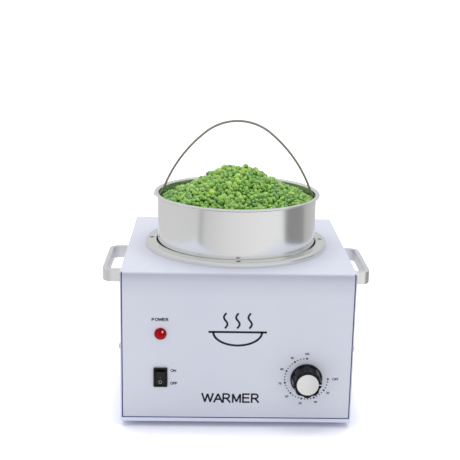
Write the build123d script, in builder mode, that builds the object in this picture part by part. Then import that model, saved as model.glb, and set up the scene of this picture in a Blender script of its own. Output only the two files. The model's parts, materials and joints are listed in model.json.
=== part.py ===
"""Salon wax warmer: a square heated housing with a lift-out wax pot on a wire bail.

Millimetres, +Z up. The origin is on the ground, in the middle of the overall footprint, so the
pot's axis stands a little behind it. Front is -Y, with the knob, the lamp and the switch.
The pot is drawn lifted part of the way out of its well, with the bail upright.
"""

import os
from math import cos, radians, sin, sqrt

from build123d import *

os.makedirs("parts", exist_ok=True)

# ---- Driving dimensions -------------------------------------------------------------------

# Housing: a tray (floor, sides, lips) and a cover wrapped over front, top and back
HOUSING_W = 250.0
HOUSING_D = 250.0
HOUSING_H = 169.0
SHEET = 1.2
BEND_R = 3.0
SEAM = 1.2
LIP_H = 4.5
COVER_FLANGE = 12.0

# Rubber feet
FOOT_H = 6.0
FOOT_R = 9.0
FOOT_INSET = 28.0

# Ring round the mouth of the well; its gap is round the pot and its screws are set in from that
RING_GAP = 1.4
RING_W = 12.6
RING_H = 5.8
RING_SCREW_INSET = 5.3
RING_SCREW_COUNT = 4

# Pot, its flange and its lift
POT_R = 91.5
POT_WALL = 1.2
POT_H = 100.0
POT_CORNER_R = 8.0
POT_FLANGE_REACH = 4.2
POT_FLANGE_T = 2.6
POT_SEATED_ABOVE_RING = 8.0
POT_LIFT = 48.0

# Bail: one bent wire, its ends through the pot's wall
BAIL_WIRE_R = 1.25
BAIL_DROP = 4.3
BAIL_TOP_R_TO_POT = 0.6437
BAIL_SIDE_R_TO_POT = 1.694
BAIL_FOOT_R = 3.5
BAIL_TOP_TURN = 38.7
BAIL_SIDE_TURN = 32.3
BAIL_END_REACH = 4.5
BAIL_HEAD_R = 1.6
BAIL_HEAD_T = 1.4

# Wax beads: level at the wall and heap above the pot's rim
WAX_BELOW_RIM = 8.0
WAX_HEAP = 28.0

# Carrying handles: flat bars bent to a U
HANDLE_SPAN = 104.0
HANDLE_REACH = 27.0
HANDLE_BAR_T = 5.5
HANDLE_BAR_H = 15.1
HANDLE_BEND_R = 12.0
HANDLE_Z = 148.8

# Thermostat and its knob
KNOB_X = 75.2
KNOB_Z = 57.2
KNOB_REACH = 17.0
KNOB_SKIRT_R = 17.35
KNOB_SKIRT_T = 2.2
KNOB_BODY_R = 16.5
KNOB_FRONT_R = 15.2
KNOB_FLUTES = 8
KNOB_FLUTE_R = 7.0
KNOB_FLUTE_DEPTH = 1.4
KNOB_CAP_R = 11.75
KNOB_CAP_T = 1.2
SHAFT_R = 3.0
BUSH_R = 5.0
BUSH_REACH = 3.0
THERMOSTAT_W = 44.0
THERMOSTAT_H = 44.0
THERMOSTAT_D = 30.0

# Signal lamp
LAMP_X = -82.1
LAMP_Z = 107.4
LENS_R = 6.5
LENS_RIM = 1.4
LENS_REACH = 6.0
LAMP_BODY_R = 4.9
LAMP_BODY_D = 28.0

# Rocker switch
SWITCH_X = -82.1
SWITCH_Z = 57.8
SWITCH_FRAME_W = 15.0
SWITCH_FRAME_H = 22.0
SWITCH_FRAME_T = 2.0
SWITCH_BODY_W = 12.8
SWITCH_BODY_H = 19.4
SWITCH_BODY_D = 14.0
ROCKER_W = 9.8
ROCKER_H = 16.4
ROCKER_TILT = 11.0
ROCKER_PIN_R = 1.0

# Mains inlet at the back
INLET_X = -70.0
INLET_Z = 41.0
INLET_FLANGE_W = 50.0
INLET_FLANGE_H = 23.0
INLET_FLANGE_T = 2.5
INLET_BODY_W = 27.0
INLET_BODY_H = 19.6
INLET_BODY_D = 18.0
INLET_MOUTH_W = 24.4
INLET_MOUTH_H = 16.8
INLET_MOUTH_D = 15.0
INLET_SCREW_PITCH = 40.0

# Heating: band, cut-out, probe and insulation
BAND_T = 2.5
BAND_H = 45.0
BLANKET_T = 11.0
DISC_INSULATION_T = 14.0
PLATE_T = 1.0
CUTOUT_X = -45.0
CUTOUT_Y = 20.0
CUTOUT_R = 8.0
CUTOUT_H = 10.0
PROBE_R = 3.0
PROBE_L = 70.0
CAPILLARY_R = 1.0
PILLAR_R = 4.0

# Wires
WIRE_R = 1.1
TAB_W = 4.8
TAB_T = 0.8
TAB_L = 7.0

# Clearances
RUNNING = 0.05
FREE = 0.3
SNUG = 0.1
KNOB_GAP = 0.6

# ---- Derived places -----------------------------------------------------------------------

AXIS_Y = (KNOB_REACH - INLET_FLANGE_T) / 2
FRONT_Y = AXIS_Y - HOUSING_D / 2
BACK_Y = AXIS_Y + HOUSING_D / 2
SIDE_X = HOUSING_W / 2
HOUSING_TOP = FOOT_H + HOUSING_H
TRAY_TOP = FOOT_H + SHEET
COVER_BOTTOM = FOOT_H + LIP_H + SEAM
COVER_W = HOUSING_W - 2 * SHEET - 2 * SEAM

RING_IN_R = POT_R + RING_GAP
RING_OUT_R = RING_IN_R + RING_W
RING_SCREW_R = RING_IN_R + RING_SCREW_INSET
POT_FLANGE_R = POT_R + POT_FLANGE_REACH
BAIL_END_X = POT_R + BAIL_END_REACH
BAIL_TOP_R = POT_R * BAIL_TOP_R_TO_POT
BAIL_SIDE_R = POT_R * BAIL_SIDE_R_TO_POT

RING_TOP = HOUSING_TOP + RING_H
RIM_SEATED_Z = RING_TOP + POT_SEATED_ABOVE_RING
RIM_Z = RIM_SEATED_Z + POT_LIFT
POT_BOTTOM = RIM_Z - POT_H
WELL_FLOOR = RIM_SEATED_Z - POT_H - FREE
WELL_R = RING_IN_R + SHEET
WELL_BASE = WELL_FLOOR - SHEET
WELL_FLANGE_TOP = HOUSING_TOP - SHEET
WELL_FLANGE_R = RING_OUT_R - 2.0
HOLE_R = RING_IN_R + SHEET + 1.0

HINGE_Z = RIM_Z - BAIL_DROP

BAND_R = WELL_R + SNUG
BAND_Z = WELL_BASE + 9.0
BLANKET_R = BAND_R + BAND_T + FREE
BLANKET_Z = WELL_BASE + 3.0
BLANKET_TOP = WELL_FLANGE_TOP - SHEET - 8.0
PROBE_Z = WELL_BASE - PROBE_R - SNUG
DISC_TOP = PROBE_Z - PROBE_R - 1.0
PLATE_Z = DISC_TOP - DISC_INSULATION_T - PLATE_T
DISC_INSULATION_R = WELL_R - 2.1
PILLAR_PITCH = DISC_INSULATION_R * 1.3

POT_AXIS = Axis((0, AXIS_Y, 0), (0, 0, 1))
SECTION = Plane(origin=(0, AXIS_Y, 0), x_dir=(1, 0, 0), z_dir=(0, -1, 0))
MIDDLE = Plane(origin=(0, AXIS_Y, 0), x_dir=(1, 0, 0), z_dir=(0, 1, 0))


def level(z):
    """Horizontal plane at height z, centred on the pot's axis."""
    return Plane(origin=(0, AXIS_Y, z))


def front(proud=0.0):
    """Plane parallel to the front panel, facing the user, this far ahead of it."""
    return Plane(origin=(0, FRONT_Y - proud, 0), x_dir=(1, 0, 0), z_dir=(0, -1, 0))


def back(proud=0.0):
    """Plane parallel to the back panel, facing away from the user, this far behind it."""
    return Plane(origin=(0, BACK_Y + proud, 0), x_dir=(-1, 0, 0), z_dir=(0, 1, 0))


def side(x):
    """Upright plane facing +X; its x runs back from the pot's axis and its y is the height."""
    return Plane(origin=(x, AXIS_Y, 0), x_dir=(0, 1, 0), z_dir=(1, 0, 0))


def corner(sketch, x, y):
    """The sketch's vertex nearest to a point."""
    return sketch.vertices().sort_by_distance((x, y, 0))[0]


def save(piece, name):
    """Label a finished piece and write it to its own file."""
    piece.part.label = name
    export_step(piece.part, f"parts/{name}.step")


def pan_screw(head_r, head_h, shank_r, length):
    """Pan-head screw with a cross recess, standing on its shank: z = 0 is under the head."""
    with BuildPart() as screw:
        with BuildSketch(Plane.XY):
            Circle(head_r)
        extrude(amount=head_h)
        fillet(screw.edges().group_by(Axis.Z)[-1], head_h * 0.6)
        with BuildSketch(Plane.XY.offset(head_h)):
            Rectangle(head_r * 1.1, head_r * 0.28)
            Rectangle(head_r * 0.28, head_r * 1.1)
        extrude(amount=-head_h * 0.55, mode=Mode.SUBTRACT)
        with BuildSketch(Plane.XY):
            Circle(shank_r)
        extrude(amount=-length)
    return screw.part


def flush_screw(head_r, shank_r, length):
    """Countersunk screw with a cross recess: z = 0 is the top of its head."""
    with BuildPart() as screw:
        with Locations((0, 0, -(head_r - shank_r) / 2)):
            Cone(shank_r, head_r, head_r - shank_r)
        with BuildSketch(Plane.XY):
            Rectangle(head_r * 1.1, head_r * 0.26)
            Rectangle(head_r * 0.26, head_r * 1.1)
        extrude(amount=-head_r * 0.35, mode=Mode.SUBTRACT)
        with BuildSketch(Plane.XY.offset(shank_r - head_r)):
            Circle(shank_r)
        extrude(amount=-(length - head_r + shank_r))
    return screw.part


def hex_nut(shank_r, thickness):
    """Plain hexagon nut standing on z = 0."""
    with BuildPart() as nut:
        with BuildSketch(Plane.XY):
            RegularPolygon(shank_r * 1.85, 6, major_radius=False)
            Circle(shank_r + RUNNING, mode=Mode.SUBTRACT)
        extrude(amount=thickness)
    return nut.part


def group(piece, places):
    """Separate copies of one piece, one at each place's plane."""
    with BuildPart() as copies:
        with Locations(*places):
            add(piece)
    return copies


def run_of_wire(points, radius, bend):
    """Round wire along straight runs with rounded corners; points are measured from the pot's axis."""
    path_points = [(x, AXIS_Y + y, z) for x, y, z in points]
    with BuildPart() as wire:
        with BuildLine() as path:
            FilletPolyline(*path_points, radius=bend)
        with BuildSketch(Plane(origin=path.line @ 0, z_dir=path.line % 0)):
            Circle(radius)
        sweep()
    return wire.part


# ---- Places that several pieces share -----------------------------------------------------

foot_places = [(x * (SIDE_X - FOOT_INSET), y * (HOUSING_D / 2 - FOOT_INSET))
               for y in (-1, 1) for x in (-1, 1)]
FOOT_NAMES = ["foot_front_left", "foot_front_right", "foot_rear_left", "foot_rear_right"]
FOOT_SCREW_R = 2.0
FOOT_RECESS_R = 4.6
FOOT_RECESS_D = 2.8
FOOT_HEAD_H = 2.2

COVER_SCREW_R = 1.7
cover_screw_places = [(y * (HOUSING_D / 2 - COVER_FLANGE * 0.6), FOOT_H + HOUSING_H / 2) for y in (-1, 1)]

HANDLE_SCREW_R = 2.0
handle_screw_places = [(y * (HANDLE_SPAN - HANDLE_BAR_T) / 2, HANDLE_Z) for y in (-1, 1)]

RING_SCREW_SHANK_R = 1.5
RING_SCREW_HEAD_R = 2.9
RING_SCREW_SINK = 0.1
RING_NUT_T = 2.4

# ---- Housing ------------------------------------------------------------------------------


def cover_outline(x, inset):
    """Side outline of the wrapped cover, drawn in from its outside, on a plane at x."""
    top = HOUSING_TOP - inset
    with BuildSketch(side(x)) as outline:
        with Locations((0, (COVER_BOTTOM + top) / 2)):
            Rectangle(HOUSING_D - 2 * inset, top - COVER_BOTTOM)
        fillet(outline.vertices().group_by(Axis.Y)[-1], max(BEND_R - inset, 0.8))
    return outline.sketch


with BuildPart() as base_tray:
    with BuildSketch(level(FOOT_H)):
        Rectangle(HOUSING_W, HOUSING_D)
    extrude(amount=SHEET)
    for plane in (front(), back()):
        with BuildSketch(plane):
            with Locations((0, FOOT_H + LIP_H / 2)):
                Rectangle(HOUSING_W, LIP_H)
        extrude(amount=-SHEET)
    for x, inward in ((-SIDE_X, SHEET), (SIDE_X, -SHEET)):
        with BuildSketch(side(x)) as wall:
            with Locations((0, FOOT_H + HOUSING_H / 2)):
                Rectangle(HOUSING_D, HOUSING_H)
            fillet(wall.vertices().group_by(Axis.Y)[-1], BEND_R)
        extrude(amount=inward)
    fillet(base_tray.edges().group_by(Axis.Z)[0], 0.9)
    with BuildSketch(side(SIDE_X)):
        with Locations(*cover_screw_places):
            Circle(COVER_SCREW_R + SNUG)
        with Locations(*handle_screw_places):
            Circle(HANDLE_SCREW_R + SNUG)
    extrude(amount=-HOUSING_W, mode=Mode.SUBTRACT)
    with BuildSketch(level(FOOT_H)):
        with Locations(*foot_places):
            Circle(FOOT_SCREW_R + SNUG)
        with GridLocations(HOUSING_W * 0.26, 12, 2, 6):
            SlotOverall(HOUSING_W * 0.16, 4)
    extrude(amount=SHEET, mode=Mode.SUBTRACT)
save(base_tray, "base_tray")

with BuildPart() as cover_shell:
    extrude(cover_outline(-COVER_W / 2, 0), amount=COVER_W)
    extrude(cover_outline(SHEET - COVER_W / 2, SHEET), amount=COVER_W - 2 * SHEET, mode=Mode.SUBTRACT)
    extrude(cover_outline(-COVER_W / 2, COVER_FLANGE), amount=COVER_W, mode=Mode.SUBTRACT)
    with BuildSketch(level(HOUSING_TOP)):
        Circle(HOLE_R)
        with PolarLocations(RING_SCREW_R, RING_SCREW_COUNT):
            Circle(RING_SCREW_SHANK_R + SNUG)
    extrude(amount=-SHEET, mode=Mode.SUBTRACT)
    with BuildSketch(front()):
        with Locations((KNOB_X, KNOB_Z)):
            Circle(BUSH_R + SNUG)
        with Locations((LAMP_X, LAMP_Z)):
            Circle(LAMP_BODY_R + SNUG)
        with Locations((SWITCH_X, SWITCH_Z)):
            Rectangle(SWITCH_BODY_W + 2 * SNUG, SWITCH_BODY_H + 2 * SNUG)
    extrude(amount=-SHEET, mode=Mode.SUBTRACT)
    with BuildSketch(back()):
        with Locations((-INLET_X, INLET_Z)):
            Rectangle(INLET_BODY_W + 2 * SNUG, INLET_BODY_H + 2 * SNUG)
            with GridLocations(INLET_SCREW_PITCH, 0, 2, 1):
                Circle(RING_SCREW_SHANK_R + SNUG)
    extrude(amount=-SHEET, mode=Mode.SUBTRACT)
    with BuildSketch(side(COVER_W / 2)):
        with Locations(*cover_screw_places):
            Circle(COVER_SCREW_R + RUNNING)
    extrude(amount=-COVER_W, mode=Mode.SUBTRACT)
save(cover_shell, "cover_shell")

right_screws = [Plane(side(SIDE_X).from_local_coords((y, z, 0)), x_dir=(0, 1, 0), z_dir=(1, 0, 0))
                for y, z in cover_screw_places]
left_screws = [Plane(side(-SIDE_X).from_local_coords((y, z, 0)), x_dir=(0, -1, 0), z_dir=(-1, 0, 0))
               for y, z in cover_screw_places]
cover_screws = group(pan_screw(3.4, 1.6, COVER_SCREW_R, 8.0), right_screws + left_screws)
save(cover_screws, "cover_screws")

for (x, y), name in zip(foot_places, FOOT_NAMES):
    with BuildPart(Plane(origin=(x, AXIS_Y + y, 0))) as foot:
        with Locations((0, 0, FOOT_H / 2)):
            Cone(FOOT_R - 1.0, FOOT_R, FOOT_H)
        fillet(foot.edges().group_by(Axis.Z)[0], 0.8)
        with Locations((0, 0, FOOT_RECESS_D / 2)):
            Cylinder(FOOT_RECESS_R, FOOT_RECESS_D, mode=Mode.SUBTRACT)
        Cylinder(FOOT_SCREW_R + SNUG, 2 * FOOT_H, mode=Mode.SUBTRACT)
    save(foot, name)

under_feet = [Plane(origin=(x, AXIS_Y + y, FOOT_RECESS_D), z_dir=(0, 0, -1)) for x, y in foot_places]
on_tray = [Plane(origin=(x, AXIS_Y + y, TRAY_TOP)) for x, y in foot_places]
foot_screws = group(pan_screw(4.0, FOOT_HEAD_H, FOOT_SCREW_R, FOOT_H + SHEET), under_feet)
save(foot_screws, "foot_screws")
foot_nuts = group(hex_nut(FOOT_SCREW_R, 3.0), on_tray)
save(foot_nuts, "foot_nuts")

# ---- Carrying handles ---------------------------------------------------------------------

for sign, name in ((-1, "left_handle"), (1, "right_handle")):
    with BuildPart() as handle:
        with BuildSketch(level(HANDLE_Z - HANDLE_BAR_H / 2)) as bar:
            with Locations((sign * (SIDE_X + HANDLE_REACH / 2), 0)):
                Rectangle(HANDLE_REACH, HANDLE_SPAN)
            outer = [corner(bar, sign * (SIDE_X + HANDLE_REACH), y * HANDLE_SPAN / 2) for y in (-1, 1)]
            fillet(outer, HANDLE_BEND_R)
            inner_reach = HANDLE_REACH - HANDLE_BAR_T
            inner_span = HANDLE_SPAN - 2 * HANDLE_BAR_T
            with BuildSketch(mode=Mode.PRIVATE) as gap:
                with Locations((sign * (SIDE_X + inner_reach / 2), 0)):
                    Rectangle(inner_reach, inner_span)
                inner = [corner(gap, sign * (SIDE_X + inner_reach), y * inner_span / 2) for y in (-1, 1)]
                fillet(inner, HANDLE_BEND_R - HANDLE_BAR_T)
            add(gap.sketch, mode=Mode.SUBTRACT)
        extrude(amount=HANDLE_BAR_H)
        faces_up_down = handle.faces().filter_by(Axis.Z)
        ends = handle.faces().filter_by(Axis.X).group_by(Axis.X)
        wall_ends = ends[0] if sign > 0 else ends[-1]
        soft = [edge for edge in faces_up_down.edges() if edge not in wall_ends.edges()]
        fillet(soft, 1.0)
        with BuildSketch(side(sign * SIDE_X)):
            with Locations(*handle_screw_places):
                Circle(HANDLE_SCREW_R + RUNNING)
        extrude(amount=sign * 13.0, mode=Mode.SUBTRACT)
    save(handle, name)

inside_right = [Plane(origin=(SIDE_X - SHEET, AXIS_Y + y, z), z_dir=(-1, 0, 0)) for y, z in handle_screw_places]
inside_left = [Plane(origin=(SHEET - SIDE_X, AXIS_Y + y, z), z_dir=(1, 0, 0)) for y, z in handle_screw_places]
handle_screws = group(pan_screw(3.8, 2.4, HANDLE_SCREW_R, 12.0), inside_right + inside_left)
save(handle_screws, "handle_screws")

# ---- Ring and heating well ----------------------------------------------------------------

with BuildPart() as pot_ring:
    with BuildSketch(SECTION) as ring_section:
        with BuildLine():
            Polyline(
                (RING_IN_R, HOUSING_TOP - SHEET + SNUG),
                (HOLE_R - FREE, HOUSING_TOP - SHEET + SNUG),
                (HOLE_R - FREE, HOUSING_TOP),
                (RING_OUT_R, HOUSING_TOP),
                (RING_OUT_R, RING_TOP),
                (RING_IN_R, RING_TOP),
                close=True,
            )
        make_face()
        fillet(corner(ring_section, RING_OUT_R, RING_TOP), RING_H * 0.62)
        fillet(corner(ring_section, RING_IN_R, RING_TOP), 1.0)
    revolve(axis=POT_AXIS)
    with BuildSketch(level(RING_TOP)):
        with PolarLocations(RING_SCREW_R, RING_SCREW_COUNT):
            Circle(RING_SCREW_SHANK_R + SNUG)
    extrude(amount=-RING_H, mode=Mode.SUBTRACT)
    head_depth = RING_SCREW_HEAD_R - RING_SCREW_SHANK_R + RING_SCREW_SINK
    with Locations(Plane(origin=(0, AXIS_Y, RING_TOP - head_depth / 2))):
        with PolarLocations(RING_SCREW_R, RING_SCREW_COUNT):
            Cone(RING_SCREW_SHANK_R + SNUG, RING_SCREW_HEAD_R + SNUG, head_depth, mode=Mode.SUBTRACT)
save(pot_ring, "pot_ring")

around_ring = [
    Plane(origin=(RING_SCREW_R * cos(radians(a)), AXIS_Y + RING_SCREW_R * sin(radians(a)), 0))
    for a in range(0, 360, 360 // RING_SCREW_COUNT)
]
RING_SCREW_TOP = RING_TOP - RING_SCREW_SINK
RING_STACK = RING_H + 2 * SHEET + RING_NUT_T
ring_screws = group(
    flush_screw(RING_SCREW_HEAD_R, RING_SCREW_SHANK_R, RING_STACK + 1.0),
    [plane.offset(RING_SCREW_TOP) for plane in around_ring],
)
save(ring_screws, "ring_screws")
ring_nuts = group(
    hex_nut(RING_SCREW_SHANK_R, RING_NUT_T),
    [plane.offset(WELL_FLANGE_TOP - SHEET - RING_NUT_T) for plane in around_ring],
)
save(ring_nuts, "ring_nuts")

with BuildPart() as heating_well:
    with BuildSketch(SECTION) as well_section:
        with BuildLine():
            Polyline(
                (0, WELL_BASE),
                (WELL_R, WELL_BASE),
                (WELL_R, WELL_FLANGE_TOP - SHEET),
                (WELL_FLANGE_R, WELL_FLANGE_TOP - SHEET),
                (WELL_FLANGE_R, WELL_FLANGE_TOP),
                (RING_IN_R, WELL_FLANGE_TOP),
                (RING_IN_R, WELL_FLOOR),
                (0, WELL_FLOOR),
                close=True,
            )
        make_face()
        fillet(corner(well_section, WELL_R, WELL_BASE), POT_CORNER_R - 1.0)
        fillet(corner(well_section, RING_IN_R, WELL_FLOOR), POT_CORNER_R - 1.0 - SHEET)
    revolve(axis=POT_AXIS)
    with BuildSketch(level(WELL_FLANGE_TOP)):
        with PolarLocations(RING_SCREW_R, RING_SCREW_COUNT):
            Circle(RING_SCREW_SHANK_R + SNUG)
    extrude(amount=-SHEET, mode=Mode.SUBTRACT)
save(heating_well, "heating_well")

# ---- Heating parts round and under the well -----------------------------------------------

BAND_GAP = 8.0
LUG_T = 1.5
LUG_H = 16.0
LUG_Z = BAND_Z + BAND_H / 2
REAR_GAP = 44.0
HEATER_POST_X = 13.0
HEATER_POST_R = 2.5
HEATER_POST_Z = BAND_Z + 7.0
HEATER_POST_Y = 106.0


def tube(inner_r, outer_r, z, height):
    """Plain tube round the pot's axis, for use inside a part's block."""
    with BuildSketch(level(z)) as ring:
        Circle(outer_r)
        Circle(inner_r, mode=Mode.SUBTRACT)
    extrude(ring.sketch, amount=height)


def rear_slot(width, z, height):
    """Cut a slot of this width through the back half of what has been made so far."""
    with BuildSketch(level(z)) as slot:
        with Locations((0, HOUSING_D / 4)):
            Rectangle(width, HOUSING_D / 2)
    extrude(slot.sketch, amount=height, mode=Mode.SUBTRACT)


with BuildPart() as band_heater:
    tube(BAND_R, BAND_R + BAND_T, BAND_Z, BAND_H)
    rear_slot(BAND_GAP, BAND_Z, BAND_H)
    for sign in (-1, 1):
        with BuildSketch(level(LUG_Z - LUG_H / 2)):
            with Locations((sign * (BAND_GAP + LUG_T) / 2, BAND_R + 6.0)):
                Rectangle(LUG_T, 12.0)
        extrude(amount=LUG_H)
    with BuildSketch(side(-BAND_GAP)):
        with Locations((BAND_R + 8.0, LUG_Z)):
            Circle(1.5 + SNUG)
    extrude(amount=2 * BAND_GAP, mode=Mode.SUBTRACT)
save(band_heater, "band_heater")

clamp_place = Plane(origin=(BAND_GAP / 2 + LUG_T, AXIS_Y + BAND_R + 8.0, LUG_Z), z_dir=(1, 0, 0))
band_clamp_screw = group(pan_screw(2.8, 2.0, 1.5, BAND_GAP + 2 * LUG_T + 4.0), [clamp_place])
save(band_clamp_screw, "band_clamp_screw")

with BuildPart() as heater_posts:
    for sign in (-1, 1):
        with BuildSketch(MIDDLE.offset(HEATER_POST_Y)):
            with Locations((sign * HEATER_POST_X, -HEATER_POST_Z)):
                Circle(HEATER_POST_R)
        post_root = sqrt((BAND_R + BAND_T) ** 2 - (HEATER_POST_X - HEATER_POST_R) ** 2)
        extrude(amount=-(HEATER_POST_Y - post_root - SNUG))
save(heater_posts, "heater_posts")

with BuildPart() as well_blanket:
    tube(BLANKET_R, BLANKET_R + BLANKET_T, BLANKET_Z, BLANKET_TOP - BLANKET_Z)
    rear_slot(REAR_GAP, BLANKET_Z, BLANKET_TOP - BLANKET_Z)
save(well_blanket, "well_blanket")

with BuildPart() as thermal_cutout:
    with BuildSketch(level(WELL_BASE)):
        with Locations((CUTOUT_X, CUTOUT_Y)):
            Circle(CUTOUT_R)
    extrude(amount=-CUTOUT_H * 0.6)
    with BuildSketch(level(WELL_BASE - CUTOUT_H * 0.6)):
        with Locations((CUTOUT_X, CUTOUT_Y)):
            Circle(CUTOUT_R - 1.2)
    extrude(amount=-CUTOUT_H * 0.4)
save(thermal_cutout, "thermal_cutout")

with BuildPart() as disc_insulation:
    with BuildSketch(level(DISC_TOP)):
        Circle(DISC_INSULATION_R)
        with Locations((CUTOUT_X, CUTOUT_Y)):
            Circle(CUTOUT_R + 5.0, mode=Mode.SUBTRACT)
    extrude(amount=-DISC_INSULATION_T)
save(disc_insulation, "disc_insulation")

with BuildPart() as support_plate:
    with BuildSketch(level(PLATE_Z)):
        Circle(DISC_INSULATION_R)
        with Locations((CUTOUT_X, CUTOUT_Y)):
            Circle(CUTOUT_R + 3.0, mode=Mode.SUBTRACT)
    extrude(amount=PLATE_T)
save(support_plate, "support_plate")

with BuildPart() as plate_pillars:
    with BuildSketch(level(TRAY_TOP)):
        with GridLocations(PILLAR_PITCH, PILLAR_PITCH, 2, 2):
            Circle(PILLAR_R)
    extrude(amount=PLATE_Z - TRAY_TOP)
save(plate_pillars, "plate_pillars")

PROBE_Y = 10.0
PROBE_END_X = 60.0
THERMOSTAT_BACK = SHEET + THERMOSTAT_D - HOUSING_D / 2
CAPILLARY_X = KNOB_X - 12.0
CAPILLARY_Z = KNOB_Z + 10.0

with BuildPart() as thermostat_probe:
    with BuildSketch(side(PROBE_END_X)):
        with Locations((PROBE_Y, PROBE_Z)):
            Circle(PROBE_R)
    extrude(amount=-PROBE_L)
    fillet(thermostat_probe.edges().group_by(Axis.X)[0], 1.5)
save(thermostat_probe, "thermostat_probe")

capillary_route = [
    (CAPILLARY_X, THERMOSTAT_BACK, CAPILLARY_Z),
    (CAPILLARY_X, THERMOSTAT_BACK + 9.0, CAPILLARY_Z),
    (93.0, -52.0, PROBE_Z),
    (84.0, PROBE_Y, PROBE_Z),
    (PROBE_END_X, PROBE_Y, PROBE_Z),
]
with BuildPart() as capillary_tube:
    add(run_of_wire(capillary_route, CAPILLARY_R, 5.0))
save(capillary_tube, "capillary_tube")

with BuildPart() as probe_clips:
    for x in (PROBE_END_X - 16.0, PROBE_END_X - PROBE_L + 12.0):
        with BuildSketch(side(x)):
            with Locations((PROBE_Y, PROBE_Z)):
                Circle(PROBE_R + 0.9)
            with Locations((PROBE_Y, WELL_BASE - 0.5)):
                Rectangle(20.0, 1.0)
            with Locations((PROBE_Y, WELL_BASE + PROBE_R)):
                Rectangle(30.0, 2 * PROBE_R, mode=Mode.SUBTRACT)
            with Locations((PROBE_Y, (WELL_BASE + PROBE_Z) / 2)):
                Rectangle(2 * (PROBE_R + SNUG), WELL_BASE - PROBE_Z, mode=Mode.SUBTRACT)
            with Locations((PROBE_Y, PROBE_Z)):
                Circle(PROBE_R + SNUG, mode=Mode.SUBTRACT)
        extrude(amount=6.0)
save(probe_clips, "probe_clips")

# ---- Thermostat and knob ------------------------------------------------------------------

with BuildPart() as thermostat_body:
    with BuildSketch(front(-SHEET)):
        with Locations((KNOB_X, KNOB_Z)):
            RectangleRounded(THERMOSTAT_W, THERMOSTAT_H, 3.0)
    extrude(amount=-THERMOSTAT_D)
    with BuildSketch(front(-SHEET)):
        with Locations((KNOB_X, KNOB_Z)):
            Circle(BUSH_R)
    extrude(amount=SHEET + BUSH_REACH)
    with BuildSketch(front(BUSH_REACH)):
        with Locations((KNOB_X, KNOB_Z)):
            Circle(SHAFT_R + RUNNING)
    extrude(amount=-(BUSH_REACH + SHEET + 12.0), mode=Mode.SUBTRACT)
save(thermostat_body, "thermostat_body")

with BuildPart() as thermostat_nut:
    with BuildSketch(front()):
        with Locations((KNOB_X, KNOB_Z)):
            RegularPolygon(6.6, 6, major_radius=False)
            Circle(BUSH_R + RUNNING, mode=Mode.SUBTRACT)
    extrude(amount=2.2)
save(thermostat_nut, "thermostat_nut")

KNOB_FACE = KNOB_REACH - KNOB_CAP_T
SHAFT_TIP = KNOB_FACE - 3.0
with BuildPart() as thermostat_shaft:
    with BuildSketch(front(SHAFT_TIP)):
        with Locations((KNOB_X, KNOB_Z)):
            Circle(SHAFT_R)
    extrude(amount=-(SHAFT_TIP + SHEET + 11.0))
    with BuildSketch(front(SHAFT_TIP)):
        with Locations((KNOB_X, KNOB_Z - SHAFT_R)):
            Rectangle(2 * SHAFT_R, 3.0)
    extrude(amount=-7.0, mode=Mode.SUBTRACT)
save(thermostat_shaft, "thermostat_shaft")

with BuildPart() as knob:
    with BuildSketch(front(KNOB_GAP)):
        with Locations((KNOB_X, KNOB_Z)):
            Circle(KNOB_SKIRT_R)
    extrude(amount=KNOB_SKIRT_T)
    fillet(knob.edges().group_by(Axis.Y)[0], 1.2)
    for proud, body_r in ((KNOB_GAP + KNOB_SKIRT_T, KNOB_BODY_R), (KNOB_FACE + 0.6, KNOB_FRONT_R)):
        with BuildSketch(front(proud)) as grip:
            with Locations((KNOB_X, KNOB_Z)):
                Circle(body_r)
                flute_ring = body_r + KNOB_FLUTE_R - KNOB_FLUTE_DEPTH
                with PolarLocations(flute_ring, KNOB_FLUTES, start_angle=180 / KNOB_FLUTES):
                    Circle(KNOB_FLUTE_R, mode=Mode.SUBTRACT)
            fillet(grip.vertices(), 0.7)
    loft()
    with BuildSketch(front(KNOB_REACH)):
        with Locations((KNOB_X, KNOB_Z)):
            Circle(KNOB_CAP_R + RUNNING)
    extrude(amount=-KNOB_CAP_T, mode=Mode.SUBTRACT)
    with BuildSketch(front(KNOB_GAP)):
        with Locations((KNOB_X, KNOB_Z)):
            Circle(9.0)
    extrude(amount=BUSH_REACH + FREE, mode=Mode.SUBTRACT)
    with BuildSketch(front(KNOB_GAP)):
        with Locations((KNOB_X, KNOB_Z)):
            Circle(SHAFT_R + 0.02)
    extrude(amount=SHAFT_TIP - KNOB_GAP + 0.2, mode=Mode.SUBTRACT)
save(knob, "knob")

with BuildPart() as knob_cap:
    with BuildSketch(front(KNOB_FACE)):
        with Locations((KNOB_X, KNOB_Z)):
            Circle(KNOB_CAP_R)
    extrude(amount=KNOB_CAP_T)
    chamfer(knob_cap.edges().group_by(Axis.Y)[0], 0.3)
save(knob_cap, "knob_cap")

# ---- Signal lamp --------------------------------------------------------------------------

dome_r = LENS_R - 1.0
dome_rise = LENS_REACH - LENS_RIM
dome_ball_r = (dome_r ** 2 + dome_rise ** 2) / (2 * dome_rise)
with BuildPart() as lamp_lens:
    with BuildSketch(front()):
        with Locations((LAMP_X, LAMP_Z)):
            Circle(LENS_R)
    extrude(amount=LENS_RIM)
    fillet(lamp_lens.edges().group_by(Axis.Y)[0], 0.5)
    with Locations((LAMP_X, FRONT_Y - LENS_REACH + dome_ball_r, LAMP_Z)):
        Sphere(dome_ball_r)
    split(bisect_by=front(), keep=Keep.TOP)
save(lamp_lens, "lamp_lens")

with BuildPart() as lamp_body:
    with BuildSketch(front()):
        with Locations((LAMP_X, LAMP_Z)):
            Circle(LAMP_BODY_R)
    extrude(amount=-(SHEET + LAMP_BODY_D))
    fillet(lamp_body.edges().group_by(Axis.Y)[-1], 1.0)
save(lamp_body, "lamp_body")

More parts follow.
